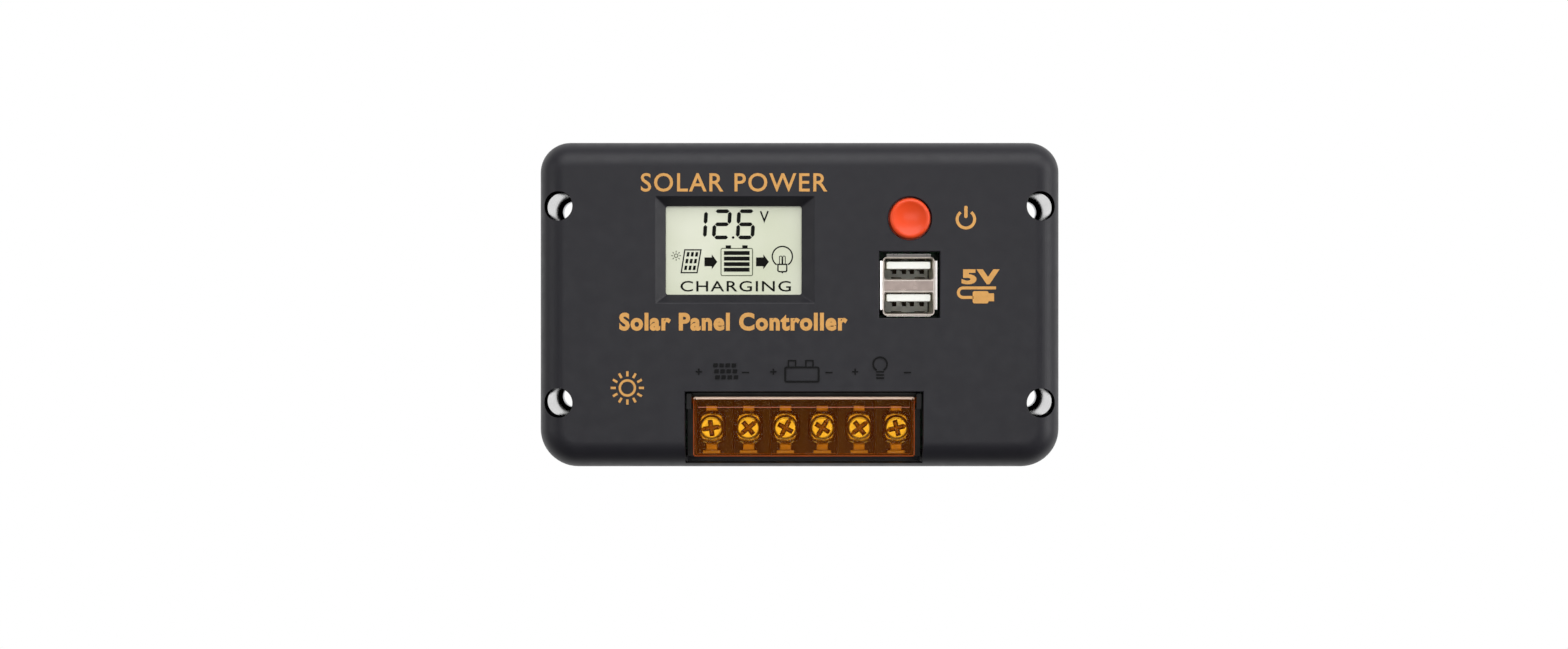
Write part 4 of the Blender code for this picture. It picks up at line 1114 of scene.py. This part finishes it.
def make_relief():
    """Low raised pictures over the terminals: panel, battery, lamp and polarity marks, coloured darker than
    the case as painted shade.
    """
    depth = (CASE_FRONT - RELIEF, CASE_FRONT + RELIEF_SINK)
    bm = bmesh.new()
    for row in range(3):
        for column in range(4):
            x = RELIEF_CELLS[0] + RELIEF_CELL_PITCH[0] * column + RELIEF_CELL_SHIFT * row
            z = RELIEF_CELLS[1] - RELIEF_CELL_PITCH[1] * row
            prism(bm, [(x + a, z + b) for a, b in RELIEF_CELL], *depth)
    battery = rounded(*RELIEF_BATTERY, RELIEF_BATTERY_CORNER, RELIEF_BATTERY_CORNER, 3)
    stroke(bm, battery, RELIEF_BATTERY_LINE, *depth, True)
    for x in RELIEF_POSTS:
        stroke(bm, [(x + a, z) for a, z in RELIEF_POST], RELIEF_LINE, *depth)
    stroke(bm, arc(*RELIEF_BULB, 28), RELIEF_BULB_LINE, *depth)
    for level in RELIEF_THREADS:
        level_stroke(bm, RELIEF_BULB[0], level, RELIEF_THREAD_HALF, RELIEF_THREAD_LINE, depth)
    for x in RELIEF_PLUSES:
        level_stroke(bm, x, *RELIEF_PLUS_BAR, RELIEF_LINE, depth)
        for top, bottom in RELIEF_PLUS_ENDS:
            stroke(bm, [(x, top), (x, bottom)], RELIEF_LINE, *depth)
    for x in RELIEF_MINUSES:
        level_stroke(bm, x, *RELIEF_MINUS_BAR, RELIEF_LINE, depth)
    item = piece(bm, "relief_pictures", "relief", "case")
    soften(item, RELIEF_ROUND)


def level_stroke(bm, x, z, half, width, depth):
    """Short level line, centred at (x, z)."""
    stroke(bm, [(x - half, z), (x + half, z)], width, *depth)


# ---- Button

def make_button():
    """Push button with a rounded rim and a shallow dished top."""
    front = BUTTON_LOW[1]
    profile = []
    for step in range(BUTTON_DISH_STEPS + 1):
        share = max(step / BUTTON_DISH_STEPS, 0.01)
        profile.append((BUTTON_RIM * share, front + BUTTON_DISH * (1.0 - share ** 2)))
    edge = BUTTON_RADIUS - BUTTON_RIM
    for step in range(1, BUTTON_RIM_STEPS + 1):
        angle = math.radians(90.0 * step / BUTTON_RIM_STEPS)
        profile.append((BUTTON_RIM + edge * math.sin(angle), front + edge * (1.0 - math.cos(angle))))
    flange_back = BUTTON_FLANGE + BUTTON_FLANGE_THICK
    profile += [(BUTTON_RADIUS, BUTTON_FLANGE), (BUTTON_FLANGE_RADIUS, BUTTON_FLANGE)]
    profile += [(BUTTON_FLANGE_RADIUS, flange_back), (BUTTON_STEM_RADIUS, flange_back)]
    profile += [(BUTTON_STEM_RADIUS, BUTTON_HIGH[1])]
    bm = bmesh.new()
    turned(bm, BUTTON_X, BUTTON_Z, profile, 72)
    item = piece(bm, "push_button", "button", "button", ["button_cap"])
    mark_edges(item, 50.0)


# ---- Sockets

def usb_outline(z, size, steps):
    """Rounded outline of part of the sockets: size is width, height and corner."""
    width, height, corner = size
    return rounded(USB_X, z, width, height, corner, corner, steps)


def make_usb():
    """Stacked sockets: folded shell, divider plate, flared lips, tongues and contacts."""
    front = USB_LOW[1]
    body = usb_outline(USB_Z, USB_BODY, 5)
    fold = usb_outline(USB_Z, USB_FOLD, 5)
    bm = bmesh.new()
    loft(bm, [(fold, front + USB_FOLD_DEPTHS[0]), (body, front + USB_FOLD_DEPTHS[1]), (body, USB_HIGH[1])])
    shell = link("usb_housing", to_mesh(bm, "usb_housing"))
    for z in USB_PORTS:
        inner = usb_outline(z, PORT_INNER, 4)
        mouth = usb_outline(z, PORT_MOUTH, 4)
        sections = [(mouth, front - OVERSHOOT)]
        sections += [(shape, front + y) for shape, y in zip((mouth, inner, inner), PORT_DEPTHS)]
        bm = bmesh.new()
        loft(bm, sections)
        combine(shell, bm, "DIFFERENCE")
    bm = bmesh.new()
    prism(bm, rectangle(USB_X, USB_Z, *CAVITY_SIZE), front + PORT_DEPTHS[2], USB_HIGH[1] + OVERSHOOT)
    combine(shell, bm, "DIFFERENCE")
    mark_edges(shell)
    place(shell, "housing", "case", ["usb_shell"])
    paint_port_light(shell, front)
    near, far = DIVIDER_DEPTHS
    bm = bmesh.new()
    box(bm, USB_X - DIVIDER_HALF, USB_X + DIVIDER_HALF, front + near, front + far, *DIVIDER_ENDS)
    plate = piece(bm, "usb_divider", "nickel", "case")
    soften(plate, DIVIDER_ROUND)
    make_usb_lips(front)
    make_usb_tongues(front)
    make_usb_contacts(front)
    make_usb_springs(front)


def paint_port_light(shell, front):
    """Painted light on the walls inside the ports: a lighter copy of the nickel plating."""
    add_materials(shell, "port")
    half_width, half_height, start, end = PORT_LINING
    for face in shell.data.polygons:
        depth = face.center.y / MM - front
        beside = abs(face.center.x / MM - USB_X)
        above = min(abs(face.center.z / MM - z) for z in USB_PORTS)
        if beside < half_width and above < half_height and start < depth < end:
            face.material_index = 1


def slab(bm, ends, corners, upright=False):
    """Six-sided body: four (side, y) corners between two ends, upright or level."""
    loops = []
    for end in ends:
        for side, y in corners:
            x, z = (side, end) if upright else (end, side)
            loops.append(bm.verts.new((x * MM, y * MM, z * MM)))
    near = loops[:4]
    far = loops[4:]
    for i in range(4):
        j = (i + 1) % 4
        bm.faces.new((near[i], near[j], far[j], far[i]))
    bm.faces.new(near)
    bm.faces.new(far)


def leaning(near, far):
    """Corners of a thin strip that leans from one (side, y) to another."""
    return (near, far, (far[0], far[1] + LIP_THICK), (near[0], near[1] + LIP_THICK))


def make_usb_lips(front):
    """Lips bent outwards round the mouth."""
    bm = bmesh.new()
    for side in (-1, 1):
        points = [(USB_X + side * x, front + y) for x, y in SIDE_LIP]
        for near, far in zip(points, points[1:]):
            slab(bm, SIDE_LIP_ENDS, leaning(near, far), True)
    inner, outer = LEVEL_LIP_DEPTHS
    for z_in, z_out in LEVEL_LIPS:
        corners = leaning((z_in, front + inner), (z_out, front + outer))
        slab(bm, (USB_X - LEVEL_LIP_HALF, USB_X + LEVEL_LIP_HALF), corners)
    item = piece(bm, "usb_lips", "lip", "case")
    soften(item, LIP_ROUND)


def make_usb_tongues(front):
    """White tongues and the rear wall that carries them."""
    bm = bmesh.new()
    prism(bm, rectangle(USB_X, USB_Z, *REAR_WALL_SIZE), front + REAR_WALL_DEPTH, USB_HIGH[1])
    for z in USB_TONGUES:
        nose = usb_outline(z, TONGUE_NOSE, 3)
        full = usb_outline(z, TONGUE_FULL, 3)
        loft(bm, [(shape, front + y) for shape, y in zip((nose, full, full), TONGUE_DEPTHS)])
    item = piece(bm, "usb_tongues", "white", "case", ["usb_insulator"])
    mark_edges(item)


def make_usb_contacts(front):
    """Four bent contacts under each tongue, coloured near black as painted shade."""
    bm = bmesh.new()
    bent = [(front + y, d) for y, d in CONTACT_BEND]
    for z in USB_TONGUES:
        under = z - CONTACT_DROP
        for offset in CONTACTS:
            ends = (USB_X + offset - CONTACT_HALF, USB_X + offset + CONTACT_HALF)
            for (y_a, d_a), (y_b, d_b) in zip(bent, bent[1:]):
                upper = ((under + d_a, y_a), (under + d_b, y_b))
                lower = ((under + (d_b - CONTACT_THICK), y_b), (under + (d_a - CONTACT_THICK), y_a))
                slab(bm, ends, upper + lower)
    piece(bm, "usb_contacts", "gold_painted_shade", "case")


def make_usb_springs(front):
    """Two pressed springs above and below in each port."""
    bm = bmesh.new()
    for z in USB_PORTS:
        for offset in SPRINGS:
            ends = (USB_X + offset - SPRING_HALF, USB_X + offset + SPRING_HALF)
            for side in (-1, 1):
                wall = z + side * SPRING_WALL
                slab(bm, ends, [(wall + side * d, front + y) for d, y in SPRING_BEND])
    piece(bm, "usb_springs", "nickel", "case")


# ---- Terminals

def pole_x(index):
    """Middle of a pole, counted from the left."""
    return TERMINAL_X + (index - (POLES - 1) / 2.0) * POLE_PITCH


def make_terminals():
    """Screw and clamp of every pole, and the ends of the contact strips."""
    for index in range(POLES):
        make_clamp(index, pole_x(index))
        make_screw(index, pole_x(index))
    make_strip_ends()


def make_strip_ends():
    """Contact strips in view above and below every clamp."""
    bm = bmesh.new()
    for index in range(POLES):
        x = pole_x(index)
        for half, z_a, z_b in STRIP_ENDS:
            box(bm, x - half, x + half, STRIP_FRONT, STRIP_BACK, z_a, z_b)
    item = piece(bm, "strip_ends", "brass", "case")
    soften(item, STRIP_ROUND)


def make_clamp(index, x):
    """Square wire clamp with rounded edges and a round seat for the screw."""
    number = index + 1
    low, high = box_mm("wire_clamp_%d" % number)
    width = high[0] - low[0]
    height = high[2] - low[2]
    front = low[1]
    back = high[1]
    edge = [(inset, front + y) for inset, y in CLAMP_EDGE]
    edge += [(0.0, back - CLAMP_BACK_EDGE), (CLAMP_BACK_EDGE, back)]
    bm = bmesh.new()
    loft(bm, rounded_sections((x, TERMINAL_Z, width, height), CLAMP_CORNER, 2, edge))
    item = link("clamp_plate_%d" % number, to_mesh(bm, "clamp_plate"))
    profile = [(CLAMP_SEAT_RADIUS, front - OVERSHOOT), (CLAMP_SEAT_RADIUS, front + CLAMP_SEAT_DEPTH)]
    profile += [(CLAMP_HOLE_RADIUS, front + CLAMP_HOLE_DEPTH), (CLAMP_HOLE_RADIUS, back + OVERSHOOT)]
    bm = bmesh.new()
    turned(bm, x, TERMINAL_Z, profile, 40)
    combine(item, bm, "DIFFERENCE")
    mark_edges(item, 40.0)
    place(item, "clamp", "clamp_%d" % number, ["wire_clamp_%d" % number])
    # Painted shade in the clamp's seat and hole under the screw head
    paint_recess_shade(item, x, CLAMP_SEAT_RADIUS + 0.03, front + 0.05, math.inf)


def paint_recess_shade(item, x, radius, start, end):
    """Painted shade: a darker, duller copy of the plating on the faces near a pole's axis, between two
    depths.
    """
    add_materials(item, "recess")
    for face in item.data.polygons:
        middle = face.center / MM
        near = math.hypot(middle.x - x, middle.z - TERMINAL_Z) < radius
        if near and start < middle.y < end:
            face.material_index = 1


def make_screw(index, x):
    """Terminal screw: domed head, cross and slot recess, grooved shank."""
    number = index + 1
    low, high = box_mm("terminal_screw_%d" % number)
    front = low[1]
    bm = bmesh.new()
    turned(bm, x, TERMINAL_Z, screw_profile(front, high[1]), 48)
    item = link("clamp_screw_%d" % number, to_mesh(bm, "clamp_screw"))
    turn = math.radians(SCREW_TURNS[index])
    mouth = cross_outline(x, turn, *CROSS_MOUTH)
    floor = cross_outline(x, turn, *CROSS_FLOOR)
    near, far = CROSS_DEPTHS
    bm = bmesh.new()
    loft(bm, [(mouth, front - OVERSHOOT), (mouth, front + near), (floor, front + far)])
    combine(item, bm, "DIFFERENCE")
    bm = bmesh.new()
    prism(bm, [rotated(x, turn, a, b) for a, b in SLOT], front - OVERSHOOT, front + SLOT_DEPTH)
    combine(item, bm, "DIFFERENCE")
    mark_edges(item, 38.0)
    place(item, "screw", "screw_%d" % number, ["terminal_screw_%d" % number])
    # Painted shade in the cross and slot recess
    start, end = RECESS_DEPTHS
    paint_recess_shade(item, x, RECESS_RADIUS, front + start, front + end)


def screw_profile(front, back):
    """(radius, y) pairs from the head's middle to the tip of the shank."""
    seat = front + SCREW_HEAD
    profile = [(radius, front + y) for radius, y in SCREW_DOME]
    profile += [(radius, seat + y) for radius, y in SCREW_HEAD_EDGE]
    profile.append((SHANK_RADIUS, seat))
    start = seat + THREAD_START
    while start < back - THREAD_PITCH:
        profile += [(radius, start + y) for radius, y in THREAD]
        start += THREAD_PITCH
    profile += [(radius, back - y) for radius, y in SHANK_TIP]
    return profile


def rotated(x, turn, a, b):
    """Point (a, b) turned about a screw's axis."""
    across = x + a * math.cos(turn) - b * math.sin(turn)
    return (across, TERMINAL_Z + a * math.sin(turn) + b * math.cos(turn))


def cross_outline(x, turn, reach, half):
    """Outline of a cross about a screw's axis."""
    arms = [(reach, -half), (reach, half), (half, half), (half, reach), (-half, reach), (-half, half)]
    arms += [(-a, -b) for a, b in arms]
    return [rotated(x, turn, a, b) for a, b in arms]


# ---- Flap

def make_flap():
    """Clear amber flap with a raised border, a rib, and the pins that it turns on."""
    left = FLAP_LOW[0] + PIN_REACH
    right = FLAP_HIGH[0] - PIN_REACH
    front = FLAP_LOW[1]
    back = FLAP_HIGH[1]
    edge = [(inset, front + y) for inset, y in FLAP_FRONT_EDGE]
    edge += [(inset, back - y) for inset, y in FLAP_BACK_EDGE]
    middle_z = (FLAP_LOW[2] + FLAP_HIGH[2]) / 2.0
    area = ((left + right) / 2.0, middle_z, right - left, FLAP_HIGH[2] - FLAP_LOW[2])
    bm = bmesh.new()
    loft(bm, rounded_sections(area, FLAP_CORNER, 5, edge))
    item = link("amber_flap", to_mesh(bm, "amber_flap"))
    bm = bmesh.new()
    rod_along_x(bm, PIVOT_Y, PIVOT_Z, PIN_RADIUS, FLAP_LOW[0], left + PIN_ROOT, 24)
    rod_along_x(bm, PIVOT_Y, PIVOT_Z, PIN_RADIUS, right - PIN_ROOT, FLAP_HIGH[0], 24)
    combine(item, bm, "UNION")
    rib = FLAP_HIGH[2] - RIB_DROP
    near, far = RIB_DEPTHS
    bm = bmesh.new()
    box(bm, left + RIB_INSET, right - RIB_INSET, front + near, front + far, rib - RIB_HALF, rib + RIB_HALF)
    combine(item, bm, "UNION")
    mark_edges(item, 30.0)
    keep_flats(item)
    place(item, "amber", "flap", ["terminal_flap"])
    # Painted highlight and painted shade on the flap's cut edges
    paint_flap_edge_light(item, left, right, rib)


def paint_flap_edge_light(item, left, right, rib):
    """Painted light on the flap's cut edges: a painted highlight along the top, painted shade at the sides,
    below and on the rib.
    """
    add_materials(item, "amber_painted_shade_edge", "amber_painted_highlight")
    dark, light = 1, 2
    front = FLAP_LOW[1]
    for face in item.data.polygons:
        middle = face.center / MM
        if middle.y > front + 0.36 or not left - 0.01 < middle.x < right + 0.01:
            continue
        on_rib = middle.y < front + 0.22 and abs(middle.z - rib) < 0.2
        beside = min(middle.x - left, right - middle.x) < PAINTED_SHADE_WIDTH
        if middle.z > FLAP_HIGH[2] - PAINTED_HIGHLIGHT_WIDTH:
            face.material_index = light
        elif on_rib or beside or middle.z < FLAP_LOW[2] + PAINTED_SHADE_WIDTH:
            face.material_index = dark


# ---- Nodes kept from CAD

def dress_cad_nodes():
    """Node materials on the CAD nodes that stay in view."""
    for entry in frame["record"]["subparts"]:
        key = SLOT_MATERIALS.get(entry["material_slot"])
        if key is None:
            continue
        node = NODES[entry["node"]]
        node.data.materials.clear()
        add_materials(node, key)


# ---- Stage and lighting

def make_floor():
    """Pale floor well below the hanging object, which throws no light back at it."""
    bm = bmesh.new()
    rings = []
    for radius, z in FLOOR_RINGS:
        points = circle(0.0, FLOOR_Y, radius, FLOOR_STEPS)
        rings.append([bm.verts.new((x, y, z)) for x, y in points])
    for near, far in zip(rings, rings[1:]):
        for i in range(FLOOR_STEPS):
            j = (i + 1) % FLOOR_STEPS
            bm.faces.new((near[i], near[j], far[j], far[i]))
    bm.faces.new(rings[0])
    floor = link("floor", to_mesh(bm, "floor"))
    m = Nodes("floor_pale")
    tint = m.ramp(m.noise(6.0, 3.0), (0.93, 0.93, 0.93, 1.0), (0.95, 0.95, 0.95, 1.0))
    floor.data.materials.append(m.set(base=tint, rough=0.8))
    floor.visible_diffuse = False
    floor.visible_glossy = False


def make_world():
    """White backdrop behind the object, dimmer in front of it."""
    world = bpy.data.worlds.new("studio")
    bpy.context.scene.world = world
    world.use_nodes = True
    tree = world.node_tree
    tree.nodes.clear()
    output = tree.nodes.new("ShaderNodeOutputWorld")
    seen = tree.nodes.new("ShaderNodeBackground")
    cast = tree.nodes.new("ShaderNodeBackground")
    for background in (seen, cast):
        background.inputs["Color"].default_value = (1.0, 1.0, 1.0, 1.0)
        background.inputs["Strength"].default_value = 1.0
    direction = tree.nodes.new("ShaderNodeTexCoord").outputs["Generated"]
    split = tree.nodes.new("ShaderNodeSeparateXYZ")
    tree.links.new(direction, split.inputs[0])
    level = tree.nodes.new("ShaderNodeMapRange")
    level.interpolation_type = "SMOOTHSTEP"
    values = (("From Min", -0.1), ("From Max", 0.3), ("To Min", FRONT_LEVEL), ("To Max", BACK_LEVEL))
    for name, value in values:
        level.inputs[name].default_value = value
    tree.links.new(split.outputs["Y"], level.inputs["Value"])
    tree.links.new(level.outputs["Result"], cast.inputs["Strength"])
    path = tree.nodes.new("ShaderNodeLightPath")
    mix = tree.nodes.new("ShaderNodeMixShader")
    tree.links.new(path.outputs["Is Camera Ray"], mix.inputs[0])
    tree.links.new(cast.outputs[0], mix.inputs[1])
    tree.links.new(seen.outputs[0], mix.inputs[2])
    tree.links.new(mix.outputs[0], output.inputs["Surface"])


def make_lights():
    """Soft boxes aimed at the object."""
    for name, position, size, power in LIGHTS:
        data = bpy.data.lights.new(name, "AREA")
        data.shape = "RECTANGLE"
        data.size, data.size_y = size
        data.energy = power
        lamp = link(name, data)
        lamp.location = position
        aim = Vector(LIGHT_TARGET) - Vector(position)
        lamp.rotation_euler = aim.to_track_quat("-Z", "Y").to_euler()


def make_camera():
    """Straight-on camera, level with the object's middle."""
    data = bpy.data.cameras.new("camera")
    data.sensor_width = SENSOR_WIDTH
    data.lens = SENSOR_WIDTH * CAMERA_DISTANCE / FACE_FRAME_WIDTH
    data.shift_x, data.shift_y = CAMERA_SHIFT
    data.clip_start = 0.01
    camera = link("camera", data)
    camera.location = (0.0, CASE_FRONT * MM - CAMERA_DISTANCE, 0.0)
    camera.rotation_euler = (math.radians(90.0), 0.0, 0.0)
    bpy.context.scene.camera = camera


def main():
    bpy.context.scene.view_settings.view_transform = "Standard"
    make_camera()
    make_world()
    make_lights()
    make_floor()
    make_case()
    make_display()
    make_print()
    make_relief()
    make_button()
    make_usb()
    make_terminals()
    make_flap()
    dress_cad_nodes()


main()
